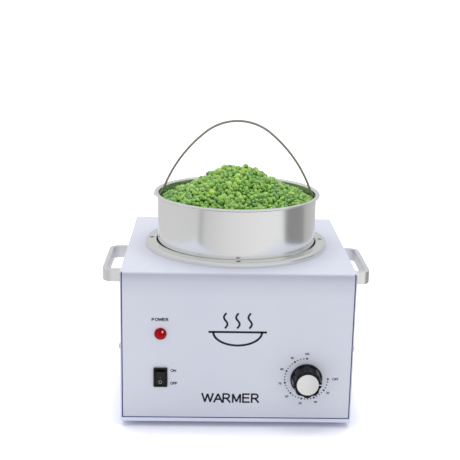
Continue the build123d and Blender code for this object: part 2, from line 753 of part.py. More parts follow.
with BuildPart() as lamp_clip:
    with BuildSketch(front(-SHEET)):
        with Locations((LAMP_X, LAMP_Z)):
            Circle(LAMP_BODY_R + 3.0)
            Circle(LAMP_BODY_R + RUNNING, mode=Mode.SUBTRACT)
    extrude(amount=-1.2)
save(lamp_clip, "lamp_clip")

# ---- Rocker switch ------------------------------------------------------------------------

ROCKER_PIVOT = (SWITCH_X, FRONT_Y + 1.0, SWITCH_Z)
WINDOW_W = ROCKER_W + 0.8
WINDOW_H = ROCKER_H + 2.0
WINDOW_D = 9.0

with BuildPart() as switch_frame:
    with BuildSketch(front()):
        with Locations((SWITCH_X, SWITCH_Z)):
            RectangleRounded(SWITCH_FRAME_W, SWITCH_FRAME_H, 1.0)
    extrude(amount=SWITCH_FRAME_T)
    fillet(switch_frame.edges().group_by(Axis.Y)[0], 0.7)
    with BuildSketch(front()):
        with Locations((SWITCH_X, SWITCH_Z)):
            Rectangle(SWITCH_BODY_W, SWITCH_BODY_H)
    extrude(amount=-(SHEET + SWITCH_BODY_D))
    with BuildSketch(front(SWITCH_FRAME_T)):
        with Locations((SWITCH_X, SWITCH_Z)):
            Rectangle(WINDOW_W, WINDOW_H)
    extrude(amount=-(SWITCH_FRAME_T + WINDOW_D), mode=Mode.SUBTRACT)
    pin_plane = Plane(origin=ROCKER_PIVOT, x_dir=(0, 1, 0), z_dir=(1, 0, 0))
    with BuildSketch(pin_plane):
        Circle(ROCKER_PIN_R + RUNNING)
    extrude(amount=WINDOW_W / 2 + 0.7, both=True, mode=Mode.SUBTRACT)
save(switch_frame, "switch_frame")

# The rocker's own plane: its x points out of the panel and its y up, tipped so the top is in
tip = radians(ROCKER_TILT)
rocker_plane = Plane(origin=ROCKER_PIVOT, x_dir=(0, -cos(tip), -sin(tip)), z_dir=(-1, 0, 0))
with BuildPart() as rocker:
    with BuildSketch(rocker_plane) as rocker_side:
        with BuildLine():
            Polyline(
                (4.2, ROCKER_H / 2),
                (3.0, 0),
                (4.2, -ROCKER_H / 2),
                (0.8, -ROCKER_H / 2),
                (-3.4, 0),
                (0.8, ROCKER_H / 2),
                close=True,
            )
        make_face()
        fillet([corner(rocker_side, 4.2, y * ROCKER_H / 2) for y in (-1, 1)], 0.6)
        fillet(corner(rocker_side, 3.0, 0), 6.0)
        fillet(corner(rocker_side, -3.4, 0), 2.0)
    extrude(amount=ROCKER_W / 2, both=True)
    with BuildSketch(pin_plane):
        Circle(ROCKER_PIN_R)
    extrude(amount=WINDOW_W / 2 + 0.5, both=True)
save(rocker, "rocker")

# ---- Mains inlet --------------------------------------------------------------------------

with BuildPart() as mains_inlet:
    with BuildSketch(back()) as flange:
        with Locations((-INLET_X, INLET_Z)):
            RectangleRounded(INLET_FLANGE_W, INLET_FLANGE_H, 5.0)
    extrude(amount=INLET_FLANGE_T)
    with BuildSketch(back()):
        with Locations((-INLET_X, INLET_Z)):
            Rectangle(INLET_BODY_W, INLET_BODY_H)
    extrude(amount=-INLET_BODY_D)
    with BuildSketch(back(INLET_FLANGE_T)) as mouth:
        with Locations((-INLET_X, INLET_Z)):
            Rectangle(INLET_MOUTH_W, INLET_MOUTH_H)
        chamfer(mouth.vertices().group_by(Axis.Y)[-1], 4.0)
    extrude(amount=-INLET_MOUTH_D, mode=Mode.SUBTRACT)
    with BuildSketch(back(INLET_FLANGE_T)):
        with Locations((-INLET_X, INLET_Z)):
            with GridLocations(INLET_SCREW_PITCH, 0, 2, 1):
                Circle(RING_SCREW_SHANK_R + SNUG)
    extrude(amount=-INLET_FLANGE_T, mode=Mode.SUBTRACT)
    inlet_head_depth = RING_SCREW_HEAD_R - RING_SCREW_SHANK_R + RING_SCREW_SINK
    with Locations(back(INLET_FLANGE_T - inlet_head_depth / 2)):
        with Locations((-INLET_X, INLET_Z)):
            with GridLocations(INLET_SCREW_PITCH, 0, 2, 1):
                Cone(
                    RING_SCREW_SHANK_R + SNUG,
                    RING_SCREW_HEAD_R + SNUG,
                    inlet_head_depth,
                    mode=Mode.SUBTRACT,
                )
    with BuildSketch(back()):
        with Locations((-INLET_X - 7.0, INLET_Z - 2.0), (-INLET_X + 7.0, INLET_Z - 2.0), (-INLET_X, INLET_Z + 2.0)):
            Rectangle(2.0 + 2 * RUNNING, 4.0 + 2 * RUNNING)
    extrude(amount=-INLET_BODY_D, mode=Mode.SUBTRACT)
save(mains_inlet, "mains_inlet")

PIN_TIP = INLET_FLANGE_T - 4.0
PIN_TAIL = 7.0
with BuildPart() as inlet_pins:
    with BuildSketch(back(PIN_TIP)):
        with Locations((-INLET_X - 7.0, INLET_Z - 2.0), (-INLET_X + 7.0, INLET_Z - 2.0), (-INLET_X, INLET_Z + 2.0)):
            Rectangle(2.0, 4.0)
    extrude(amount=-(INLET_BODY_D + PIN_TIP + PIN_TAIL))
save(inlet_pins, "inlet_pins")

inlet_screw_places = [
    Plane(origin=(INLET_X + x * INLET_SCREW_PITCH / 2, BACK_Y + INLET_FLANGE_T - RING_SCREW_SINK, INLET_Z),
          z_dir=(0, 1, 0))
    for x in (-1, 1)
]
inlet_screws = group(flush_screw(RING_SCREW_HEAD_R, RING_SCREW_SHANK_R, 9.0), inlet_screw_places)
save(inlet_screws, "inlet_screws")
inlet_nut_places = [
    Plane(origin=(INLET_X + x * INLET_SCREW_PITCH / 2, BACK_Y - SHEET, INLET_Z), z_dir=(0, -1, 0))
    for x in (-1, 1)
]
inlet_nuts = group(hex_nut(RING_SCREW_SHANK_R, RING_NUT_T), inlet_nut_places)
save(inlet_nuts, "inlet_nuts")

# ---- Terminals and wiring -----------------------------------------------------------------

BLOCK_X = -30.0
BLOCK_Y = 72.0
BLOCK_W = 34.0
BLOCK_D = 18.0
BLOCK_H = 15.0
BLOCK_PORT_Z = TRAY_TOP + 8.0
EARTH_X = -100.0
EARTH_Y = 60.0
EARTH_STUD_H = 14.0

with BuildPart() as terminal_block:
    with BuildSketch(level(TRAY_TOP)):
        with Locations((BLOCK_X, BLOCK_Y)):
            RectangleRounded(BLOCK_W, BLOCK_D, 1.5)
    extrude(amount=BLOCK_H)
save(terminal_block, "terminal_block")

with BuildPart() as earth_stud:
    with BuildSketch(level(TRAY_TOP)):
        with Locations((EARTH_X, EARTH_Y)):
            RegularPolygon(3.5, 6, major_radius=False)
    extrude(amount=3.2)
    with BuildSketch(level(TRAY_TOP)):
        with Locations((EARTH_X, EARTH_Y)):
            Circle(2.0)
    extrude(amount=EARTH_STUD_H)
save(earth_stud, "earth_stud")

SWITCH_BACK = SHEET + SWITCH_BODY_D - HOUSING_D / 2
LAMP_BACK = SHEET + LAMP_BODY_D - HOUSING_D / 2
CUTOUT_BOTTOM = WELL_BASE - CUTOUT_H
INLET_TAIL_Y = HOUSING_D / 2 - INLET_BODY_D - PIN_TAIL
SWITCH_TABS = [(SWITCH_X, SWITCH_Z - 4.5), (SWITCH_X, SWITCH_Z + 4.5)]
THERMOSTAT_TABS = [(KNOB_X - 8.0, KNOB_Z - 8.0), (KNOB_X + 8.0, KNOB_Z - 8.0)]
LAMP_TABS = [(LAMP_X - 3.0, LAMP_Z), (LAMP_X + 3.0, LAMP_Z)]
CUTOUT_TABS = [(CUTOUT_X - 4.0, CUTOUT_Y), (CUTOUT_X + 4.0, CUTOUT_Y)]

with BuildPart() as spade_terminals:
    for back_y, tabs, width, height in (
        (SWITCH_BACK, SWITCH_TABS, TAB_W, TAB_T),
        (THERMOSTAT_BACK, THERMOSTAT_TABS, TAB_T, TAB_W),
        (LAMP_BACK, LAMP_TABS, TAB_T, TAB_W / 2),
    ):
        with BuildSketch(SECTION.offset(-back_y)):
            with Locations(*tabs):
                Rectangle(width, height)
        extrude(amount=-TAB_L)
    with BuildSketch(level(CUTOUT_BOTTOM)):
        with Locations(*CUTOUT_TABS):
            Rectangle(TAB_T, TAB_W)
    extrude(amount=-TAB_L)
save(spade_terminals, "spade_terminals")

TRACK_Z = TRAY_TOP + 14.0
HIGH_TRACK_Z = TRACK_Z + 14.0
live_routes = [
    [
        (INLET_X - 7.0, INLET_TAIL_Y, INLET_Z - 2.0),
        (INLET_X - 7.0, INLET_TAIL_Y - 12.0, INLET_Z - 2.0),
        (-98.0, 55.0, HIGH_TRACK_Z),
        (-104.0, -60.0, HIGH_TRACK_Z),
        (SWITCH_X, SWITCH_BACK + TAB_L + 14.0, SWITCH_Z - 4.5),
        (SWITCH_X, SWITCH_BACK + TAB_L, SWITCH_Z - 4.5),
    ],
    [
        (SWITCH_X, SWITCH_BACK + TAB_L, SWITCH_Z + 4.5),
        (SWITCH_X, SWITCH_BACK + TAB_L + 10.0, SWITCH_Z + 4.5),
        (-40.0, -84.0, 44.0),
        (40.0, -76.0, 42.0),
        (KNOB_X - 8.0, THERMOSTAT_BACK + TAB_L + 14.0, KNOB_Z - 8.0),
        (KNOB_X - 8.0, THERMOSTAT_BACK + TAB_L, KNOB_Z - 8.0),
    ],
    [
        (KNOB_X + 8.0, THERMOSTAT_BACK + TAB_L, KNOB_Z - 8.0),
        (KNOB_X + 8.0, THERMOSTAT_BACK + TAB_L + 14.0, KNOB_Z - 8.0),
        (60.0, -20.0, TRACK_Z),
        (CUTOUT_X - 4.0, CUTOUT_Y - 16.0, TRACK_Z),
        (CUTOUT_X - 4.0, CUTOUT_Y, 46.0),
        (CUTOUT_X - 4.0, CUTOUT_Y, CUTOUT_BOTTOM - TAB_L),
    ],
    [
        (CUTOUT_X + 4.0, CUTOUT_Y, CUTOUT_BOTTOM - TAB_L),
        (CUTOUT_X + 4.0, CUTOUT_Y, 46.0),
        (0.0, 60.0, HIGH_TRACK_Z),
        (HEATER_POST_X, HEATER_POST_Y + 9.0, 50.0),
        (HEATER_POST_X, HEATER_POST_Y + 9.0, HEATER_POST_Z),
        (HEATER_POST_X, HEATER_POST_Y, HEATER_POST_Z),
    ],
]
neutral_routes = [
    [
        (INLET_X + 7.0, INLET_TAIL_Y, INLET_Z - 2.0),
        (INLET_X + 7.0, INLET_TAIL_Y - 8.0, INLET_Z - 2.0),
        (BLOCK_X - 10.0, BLOCK_Y + BLOCK_D / 2 + 12.0, BLOCK_PORT_Z),
        (BLOCK_X - 10.0, BLOCK_Y + BLOCK_D / 2, BLOCK_PORT_Z),
    ],
    [
        (BLOCK_X, BLOCK_Y + BLOCK_D / 2, BLOCK_PORT_Z),
        (BLOCK_X, BLOCK_Y + BLOCK_D / 2 + 10.0, BLOCK_PORT_Z),
        (-HEATER_POST_X, HEATER_POST_Y + 9.0, 48.0),
        (-HEATER_POST_X, HEATER_POST_Y + 9.0, HEATER_POST_Z),
        (-HEATER_POST_X, HEATER_POST_Y, HEATER_POST_Z),
    ],
]
lamp_routes = [
    [
        (x, LAMP_BACK + TAB_L, LAMP_Z),
        (x, LAMP_BACK + TAB_L + 8.0, LAMP_Z),
        (x - 6.0, LAMP_BACK + TAB_L + 8.0, 60.0),
        (x + 4.0, -40.0, TRACK_Z),
        (port_x, BLOCK_Y - BLOCK_D / 2 - 14.0, BLOCK_PORT_Z),
        (port_x, BLOCK_Y - BLOCK_D / 2, BLOCK_PORT_Z),
    ]
    for x, port_x in ((LAMP_X - 3.0, BLOCK_X - 10.0), (LAMP_X + 3.0, BLOCK_X))
]
earth_route = [
    (INLET_X, INLET_TAIL_Y, INLET_Z + 2.0),
    (INLET_X, INLET_TAIL_Y - 8.0, INLET_Z + 2.0),
    (EARTH_X, EARTH_Y, INLET_Z),
    (EARTH_X, EARTH_Y, TRAY_TOP + EARTH_STUD_H),
]
for name, routes in (
    ("live_wires", live_routes),
    ("neutral_wires", neutral_routes),
    ("lamp_leads", lamp_routes),
    ("earth_wire", [earth_route]),
):
    with BuildPart() as wires:
        for route in routes:
            add(run_of_wire(route, WIRE_R, 3.5))
    save(wires, name)

# ---- Pot, wax and bail --------------------------------------------------------------------

POT_IN_R = POT_R - POT_WALL
POT_FLOOR = POT_BOTTOM + POT_WALL

with BuildPart() as pot:
    with BuildSketch(SECTION) as pot_section:
        with BuildLine():
            Polyline(
                (0, POT_BOTTOM),
                (POT_R, POT_BOTTOM),
                (POT_R, RIM_Z - POT_FLANGE_T),
                (POT_FLANGE_R, RIM_Z - POT_FLANGE_T),
                (POT_FLANGE_R, RIM_Z),
                (POT_IN_R, RIM_Z),
                (POT_IN_R, POT_FLOOR),
                (0, POT_FLOOR),
                close=True,
            )
        make_face()
        fillet(corner(pot_section, POT_R, POT_BOTTOM), POT_CORNER_R)
        fillet(corner(pot_section, POT_IN_R, POT_FLOOR), POT_CORNER_R - POT_WALL)
        fillet(corner(pot_section, POT_IN_R, RIM_Z), POT_WALL)
        fillet(corner(pot_section, POT_FLANGE_R, RIM_Z), POT_FLANGE_T * 0.45)
        fillet(corner(pot_section, POT_FLANGE_R, RIM_Z - POT_FLANGE_T), POT_FLANGE_T * 0.45)
    revolve(axis=POT_AXIS)
    with BuildSketch(side(0)):
        with Locations((0, HINGE_Z)):
            Circle(BAIL_WIRE_R + RUNNING)
    extrude(amount=POT_FLANGE_R, both=True, mode=Mode.SUBTRACT)
save(pot, "pot")

WAX_R = POT_IN_R - SNUG
WAX_FLOOR = POT_FLOOR + SNUG
WAX_EDGE = RIM_Z - WAX_BELOW_RIM
with BuildPart() as wax:
    with BuildSketch(SECTION) as wax_section:
        with BuildLine():
            Polyline((0, RIM_Z + WAX_HEAP), (0, WAX_FLOOR), (WAX_R, WAX_FLOOR), (WAX_R, WAX_EDGE))
            Spline(
                (WAX_R, WAX_EDGE),
                (WAX_R * 0.72, RIM_Z + WAX_HEAP * 0.14),
                (WAX_R * 0.42, RIM_Z + WAX_HEAP * 0.6),
                (0, RIM_Z + WAX_HEAP),
                tangents=((-1, 0.5), (-1, 0)),
            )
        make_face()
        fillet(corner(wax_section, WAX_R, WAX_FLOOR), POT_CORNER_R - POT_WALL - SNUG)
    revolve(axis=POT_AXIS)
save(wax, "wax")

leg_turn = BAIL_TOP_TURN + BAIL_SIDE_TURN
top_fall = BAIL_TOP_R * (1 - cos(radians(BAIL_TOP_TURN)))
side_fall = BAIL_SIDE_R * (cos(radians(BAIL_TOP_TURN)) - cos(radians(leg_turn)))
foot_fall = BAIL_FOOT_R * (1 - cos(radians(leg_turn)))
BAIL_TOP_Z = HINGE_Z + top_fall + side_fall + foot_fall

with BuildPart() as bail:
    with BuildLine(MIDDLE) as half_wire:
        crown = JernArc((0, -BAIL_TOP_Z), (1, 0), BAIL_TOP_R, BAIL_TOP_TURN)
        leg = JernArc(crown @ 1, crown % 1, BAIL_SIDE_R, BAIL_SIDE_TURN)
        foot_bend = JernArc(leg @ 1, leg % 1, BAIL_FOOT_R, -leg_turn)
        Line(foot_bend @ 1, (BAIL_END_X, -HINGE_Z))
    with BuildSketch(Plane(origin=half_wire.line @ 0, z_dir=half_wire.line % 0)):
        Circle(BAIL_WIRE_R)
    sweep()
    with BuildSketch(side(BAIL_END_X)):
        with Locations((0, HINGE_Z)):
            Circle(BAIL_HEAD_R)
    extrude(amount=-BAIL_HEAD_T)
    mirror(about=Plane.YZ)
save(bail, "bail")
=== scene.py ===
"""Looks for the wax warmer: powder-coated housing, spun aluminium, wire bail, wax beads and dial.

Metres, in the CAD model's own frame: the front is -Y, up is +Z and the ground is z = 0.
"""

import json
from math import asin, atan2, cos, degrees, radians, sin, sqrt, tau

import bmesh
import bpy
import numpy as np
from mathutils import Euler, Matrix, Vector


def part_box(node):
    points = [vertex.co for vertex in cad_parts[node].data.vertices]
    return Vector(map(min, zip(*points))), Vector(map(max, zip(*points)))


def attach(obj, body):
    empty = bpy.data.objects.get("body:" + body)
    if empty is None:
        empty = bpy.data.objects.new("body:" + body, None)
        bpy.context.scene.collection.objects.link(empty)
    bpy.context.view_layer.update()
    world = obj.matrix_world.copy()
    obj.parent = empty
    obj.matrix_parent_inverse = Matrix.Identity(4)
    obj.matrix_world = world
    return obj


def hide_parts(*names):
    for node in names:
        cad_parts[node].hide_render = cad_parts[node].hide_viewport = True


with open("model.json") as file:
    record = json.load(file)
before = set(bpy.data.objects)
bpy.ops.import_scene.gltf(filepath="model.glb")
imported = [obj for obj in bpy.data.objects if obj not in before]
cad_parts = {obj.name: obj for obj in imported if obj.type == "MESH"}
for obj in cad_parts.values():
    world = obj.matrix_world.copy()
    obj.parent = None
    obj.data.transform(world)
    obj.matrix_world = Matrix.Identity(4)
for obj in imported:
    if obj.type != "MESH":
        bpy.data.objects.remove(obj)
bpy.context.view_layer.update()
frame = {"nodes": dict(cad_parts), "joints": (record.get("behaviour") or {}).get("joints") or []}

MM = 0.001

# ---- Places read from the CAD frame -------------------------------------------------------

HOUSING_LOW, HOUSING_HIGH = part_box("base_tray")
COVER_LOW, COVER_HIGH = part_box("cover_shell")
POT_LOW, POT_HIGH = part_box("pot")
WAX_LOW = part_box("wax")[0]
BAIL_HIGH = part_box("bail")[1]
KNOB_LOW, KNOB_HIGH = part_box("knob")
CAP_LOW, CAP_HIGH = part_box("knob_cap")
LENS_LOW, LENS_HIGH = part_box("lamp_lens")
FRAME_LOW, FRAME_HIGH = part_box("switch_frame")

AXIS_Y = (POT_LOW.y + POT_HIGH.y) / 2
POT_AXIS = Vector((0, AXIS_Y, 0))
RIM_Z = POT_HIGH.z
RIM_R = POT_HIGH.x
FRONT_Y = COVER_LOW.y
KNOB_CENTRE = Vector(((KNOB_LOW.x + KNOB_HIGH.x) / 2, FRONT_Y, (KNOB_LOW.z + KNOB_HIGH.z) / 2))
LAMP_CENTRE = Vector(((LENS_LOW.x + LENS_HIGH.x) / 2, FRONT_Y, (LENS_LOW.z + LENS_HIGH.z) / 2))
SWITCH_CENTRE = Vector(((FRAME_LOW.x + FRAME_HIGH.x) / 2, FRONT_Y, (FRAME_LOW.z + FRAME_HIGH.z) / 2))
HINGE_Z = next(j["pos_m"][2] for j in frame["joints"] if j["name"] == "bail_swing")

# ---- Pot, wax and bail sizes that the looks share -----------------------------------------

SHEET = 1.2 * MM
POT_WALL_R = 91.5 * MM
POT_WALL_T = 1.2 * MM
POT_BOTTOM_R = 8.0 * MM
RIM_CURL_R = 1.3 * MM
BAIL_WIRE_R = 1.25 * MM
BAIL_TOP_R = POT_WALL_R * 0.6437
BAIL_SIDE_R = POT_WALL_R * 1.694
BAIL_FOOT_R = 3.5 * MM
BAIL_TOP_TURN = radians(38.7)
BAIL_SIDE_TURN = radians(32.3)
BAIL_HEAD_R = 1.6 * MM
BAIL_HEAD_T = 1.4 * MM
ROCKER_TILT = 11.0
LENS_RIM_T = 1.4 * MM

# ---- Node and material helpers ------------------------------------------------------------


def add_node(tree, kind, **inputs):
    """A node of this kind, with socket values given by name (spaces written as _)."""
    node = tree.nodes.new(kind)
    for key, value in inputs.items():
        node.inputs[key.replace("_", " ")].default_value = value
    return node


def math_node(tree, operation, a, b=None, clamp=False):
    """A Math node; a and b are sockets or numbers. Returns its output socket."""
    node = tree.nodes.new("ShaderNodeMath")
    node.operation = operation
    node.use_clamp = clamp
    for socket, value in zip(node.inputs, (a, b)):
        if isinstance(value, bpy.types.NodeSocket):
            tree.links.new(value, socket)
        elif value is not None:
            socket.default_value = value
    return node.outputs[0]


def mix_colour(tree, factor, a, b):
    """A colour Mix node; factor, a and b are sockets or values. Returns its colour output."""
    node = tree.nodes.new("ShaderNodeMix")
    node.data_type = "RGBA"
    for socket, value in ((node.inputs[0], factor), (node.inputs[6], a), (node.inputs[7], b)):
        if isinstance(value, bpy.types.NodeSocket):
            tree.links.new(value, socket)
        else:
            socket.default_value = value
    return node.outputs[2]


def ramp(tree, factor, stops):
    """A colour ramp through (place, colour) stops. Returns its colour output."""
    node = tree.nodes.new("ShaderNodeValToRGB")
    elements = node.color_ramp.elements
    while len(elements) < len(stops):
        elements.new(0.5)
    for element, (place, colour) in zip(elements, stops):
        element.position = place
        element.color = colour if len(colour) == 4 else (*colour, 1.0)
    tree.links.new(factor, node.inputs[0])
    return node.outputs[0]


def grey(value):
    """An opaque grey."""
    return (value, value, value, 1.0)


def new_group(name, inputs, outputs):
    """A shader node group with named value or vector sockets; returns its tree and end nodes."""
    tree = bpy.data.node_groups.new(name, "ShaderNodeTree")
    kinds = {"value": "NodeSocketFloat", "vector": "NodeSocketVector"}
    for socket_name, kind, default in inputs:
        socket = tree.interface.new_socket(name=socket_name, in_out="INPUT", socket_type=kinds[kind])
        if default is not None:
            socket.default_value = default
    for socket_name, kind in outputs:
        tree.interface.new_socket(name=socket_name, in_out="OUTPUT", socket_type=kinds[kind])
    return tree, tree.nodes.new("NodeGroupInput"), tree.nodes.new("NodeGroupOutput")


def noise(tree, vector, scale, detail=3.0, roughness=0.5):
    """Noise of about 0 to 1 at a scale. Returns its output socket."""
    node = add_node(tree, "ShaderNodeTexNoise", Scale=scale, Detail=detail, Roughness=roughness)
    tree.links.new(vector, node.inputs["Vector"])
    return node.outputs["Fac"]


# ---- Effects that several materials use ---------------------------------------------------


def make_fine_grain():
    """Orange-peel grain of paint and moulded plastic: a height and a slight tone change."""
    tree, start, end = new_group(
        "fine_grain",
        [("Vector", "vector", None), ("Grain Scale", "value", 900.0), ("Cloud Scale", "value", 9.0)],
        [("Height", "value"), ("Tone", "value")],
    )
    grain = tree.nodes.new("ShaderNodeTexNoise")
    grain.inputs["Detail"].default_value = 2.0
    clouds = tree.nodes.new("ShaderNodeTexNoise")
    clouds.inputs["Detail"].default_value = 4.0
    for node, scale in ((grain, "Grain Scale"), (clouds, "Cloud Scale")):
        tree.links.new(start.outputs["Vector"], node.inputs["Vector"])
        tree.links.new(start.outputs[scale], node.inputs["Scale"])
    tree.links.new(grain.outputs["Fac"], end.inputs["Height"])
    tree.links.new(clouds.outputs["Fac"], end.inputs["Tone"])
    return tree


def make_turned_lines():
    """Fine lines left by spinning: rings round the part's axis, as a height and a mask."""
    tree, start, end = new_group(
        "turned_lines",
        [("Vector", "vector", None), ("Lines Per Metre", "value", 2500.0)],
        [("Height", "value"), ("Mask", "value")],
    )
    split = tree.nodes.new("ShaderNodeSeparateXYZ")
    tree.links.new(start.outputs["Vector"], split.inputs[0])
    x2 = math_node(tree, "MULTIPLY", split.outputs["X"], split.outputs["X"])
    y2 = math_node(tree, "MULTIPLY", split.outputs["Y"], split.outputs["Y"])
    radius = math_node(tree, "SQRT", math_node(tree, "ADD", x2, y2))
    along = math_node(tree, "ADD", radius, split.outputs["Z"])
    place = tree.nodes.new("ShaderNodeCombineXYZ")
    tree.links.new(math_node(tree, "MULTIPLY", along, start.outputs["Lines Per Metre"]), place.inputs["X"])
    lines = add_node(tree, "ShaderNodeTexNoise", Scale=1.0, Detail=3.0, Roughness=0.6)
    tree.links.new(place.outputs[0], lines.inputs["Vector"])
    tree.links.new(lines.outputs["Fac"], end.inputs["Height"])
    smear = add_node(tree, "ShaderNodeTexNoise", Scale=14.0, Detail=3.0)
    tree.links.new(start.outputs["Vector"], smear.inputs["Vector"])
    mask = math_node(tree, "MULTIPLY", lines.outputs["Fac"], smear.outputs["Fac"])
    tree.links.new(mask, end.inputs["Mask"])
    return tree


def make_brush_lines():
    """Straight brushing: noise drawn out along one direction given by the stretch."""
    tree, start, end = new_group(
        "brush_lines",
        [("Vector", "vector", None), ("Stretch", "vector", (30.0, 2500.0, 2500.0))],
        [("Height", "value"), ("Mask", "value")],
    )
    scaled = tree.nodes.new("ShaderNodeVectorMath")
    scaled.operation = "MULTIPLY"
    tree.links.new(start.outputs["Vector"], scaled.inputs[0])
    tree.links.new(start.outputs["Stretch"], scaled.inputs[1])
    lines = add_node(tree, "ShaderNodeTexNoise", Scale=1.0, Detail=2.0)
    tree.links.new(scaled.outputs[0], lines.inputs["Vector"])
    clouds = add_node(tree, "ShaderNodeTexNoise", Scale=25.0, Detail=3.0)
    tree.links.new(start.outputs["Vector"], clouds.inputs["Vector"])
    tree.links.new(lines.outputs["Fac"], end.inputs["Height"])
    tree.links.new(clouds.outputs["Fac"], end.inputs["Mask"])
    return tree


FINE_GRAIN = make_fine_grain()
TURNED_LINES = make_turned_lines()
BRUSH_LINES = make_brush_lines()


class Surface:
    """A Principled material with Object coordinates centred on a point, ready for its effects."""

    def __init__(self, name, centre=(0, 0, 0), **values):
        self.material = bpy.data.materials.new(name)
        self.material.use_nodes = True
        self.tree = self.material.node_tree
        self.shader = self.tree.nodes["Principled BSDF"]
        for key, value in values.items():
            self.shader.inputs[key.replace("_", " ")].default_value = value
        coordinates = self.tree.nodes.new("ShaderNodeTexCoord")
        place = self.tree.nodes.new("ShaderNodeMapping")
        place.vector_type = "TEXTURE"
        place.inputs["Location"].default_value = centre
        self.tree.links.new(coordinates.outputs["Object"], place.inputs["Vector"])
        self.vector = place.outputs["Vector"]

    def effect(self, group, **values):
        """A shared effect on this surface, with its inputs set by name."""
        node = self.tree.nodes.new("ShaderNodeGroup")
        node.node_tree = group
        self.tree.links.new(self.vector, node.inputs["Vector"])
        for key, value in values.items():
            node.inputs[key.replace("_", " ")].default_value = value
        return node

    def noise(self, scale, detail=3.0, roughness=0.5):
        return noise(self.tree, self.vector, scale, detail, roughness)

    def ramp(self, factor, *stops):
        return ramp(self.tree, factor, stops)

    def set(self, socket, source):
        """Feed one of the shader's sockets."""
        self.tree.links.new(source, self.shader.inputs[socket])

    def bump(self, height, strength, distance):
        """Raise the surface by a height."""
        node = add_node(self.tree, "ShaderNodeBump", Strength=strength, Distance=distance)
        self.tree.links.new(height, node.inputs["Height"])
        self.tree.links.new(node.outputs["Normal"], self.shader.inputs["Normal"])


# ---- Materials ----------------------------------------------------------------------------


def powder_white():
    """Satin powder coat, cool white with the faintest lilac, with painted shade on the front just under the
    top bend and painted light on the front of the bottom lip.
    """
    s = Surface("powder_white", Specular_IOR_Level=0.35)
    grain = s.effect(FINE_GRAIN, Grain_Scale=1100.0, Cloud_Scale=7.0)
    plain = s.ramp(grain.outputs["Tone"], (0.3, (0.504, 0.520, 0.598)), (0.7, (0.535, 0.549, 0.620)))
    place = s.tree.nodes.new("ShaderNodeSeparateXYZ")
    s.tree.links.new(s.vector, place.inputs[0])
    facing = s.tree.nodes.new("ShaderNodeNewGeometry")
    normal = s.tree.nodes.new("ShaderNodeSeparateXYZ")
    s.tree.links.new(facing.outputs["Normal"], normal.inputs[0])
    forward = math_node(s.tree, "MULTIPLY", normal.outputs["Y"], -1.0, clamp=True)
    height = math_node(s.tree, "MULTIPLY", place.outputs["Z"], 1.0 / COVER_HIGH.z, clamp=True)
    # Painted shade: front faces darken towards the top bend, standing in for the falloff of light there.
    fall = s.ramp(height, (0.85, grey(0.0)), (0.94, grey(0.35)), (0.985, grey(1.0)))
    shade = math_node(s.tree, "MULTIPLY", forward, fall, clamp=True)
    shaded = mix_colour(s.tree, shade, plain, (0.368, 0.384, 0.460, 1.0))
    # Painted light: front faces of the bottom lip, just above the floor, are painted lighter and bluer.
    near_floor = s.ramp(height, (0.058, grey(1.0)), (0.064, grey(0.0)))
    lip = math_node(s.tree, "MULTIPLY", forward, near_floor, clamp=True)
    s.set("Base Color", mix_colour(s.tree, lip, shaded, (0.64, 0.66, 0.80, 1.0)))
    s.set("Roughness", s.ramp(grain.outputs["Tone"], (0.3, grey(0.36)), (0.7, grey(0.43))))
    s.bump(grain.outputs["Height"], 0.10, 0.00012)
    return s.material


def spun_aluminium(name, centre, rough_low, rough_high, tint, line_strength=0.05, painted_inner_shade=False):
    """Spun aluminium: rings round the part's own axis, over a soft satin; a pot's inner face can be painted
    darker and olive, as painted shade and painted reflection of the green wax.
    """
    s = Surface(name, centre, Metallic=1.0)
    turned = s.effect(TURNED_LINES, Lines_Per_Metre=2600.0)
    clouds = s.noise(10.0, 3.0)
    s.set("Roughness", s.ramp(turned.outputs["Mask"], (0.1, grey(rough_low)), (0.45, grey(rough_high))))
    darker = tuple(0.955 * c for c in tint)
    colour = s.ramp(clouds, (0.3, darker), (0.7, tint))
    if painted_inner_shade:
        # Painted shade and reflection: faces turned towards the axis get a darker olive grey.
        facing = s.tree.nodes.new("ShaderNodeNewGeometry")
        outward = s.tree.nodes.new("ShaderNodeVectorMath")
        outward.operation = "DOT_PRODUCT"
        s.tree.links.new(s.vector, outward.inputs[0])
        s.tree.links.new(facing.outputs["Normal"], outward.inputs[1])
        inside = math_node(s.tree, "LESS_THAN", outward.outputs["Value"], -0.045)
        colour = mix_colour(s.tree, inside, colour, (0.47, 0.47, 0.42, 1.0))
    s.set("Base Color", colour)
    s.bump(turned.outputs["Height"], line_strength, 0.00006)
    return s.material


def brushed_metal(name, tint, rough_low, rough_high, stretch, strength=0.06):
    """Metal brushed in one direction."""
    s = Surface(name, Metallic=1.0)
    brushed = s.effect(BRUSH_LINES, Stretch=stretch)
    s.set("Roughness", s.ramp(brushed.outputs["Height"], (0.3, grey(rough_low)), (0.7, grey(rough_high))))
    darker = tuple(0.93 * c for c in tint)
    s.set("Base Color", s.ramp(brushed.outputs["Mask"], (0.3, darker), (0.7, tint)))
    s.bump(brushed.outputs["Height"], strength, 0.00005)
    return s.material


def moulded_plastic(name, dark, light, rough_low, rough_high, grain_scale=1500.0, bump=0.08, **values):
    """Moulded plastic or rubber: a fine grain over a slight change of tone."""
    s = Surface(name, **values)
    grain = s.effect(FINE_GRAIN, Grain_Scale=grain_scale, Cloud_Scale=60.0)
    s.set("Base Color", s.ramp(grain.outputs["Tone"], (0.3, dark), (0.7, light)))
    s.set("Roughness", s.ramp(grain.outputs["Height"], (0.3, grey(rough_low)), (0.7, grey(rough_high))))
    s.bump(grain.outputs["Height"], bump, 0.00006)
    return s.material


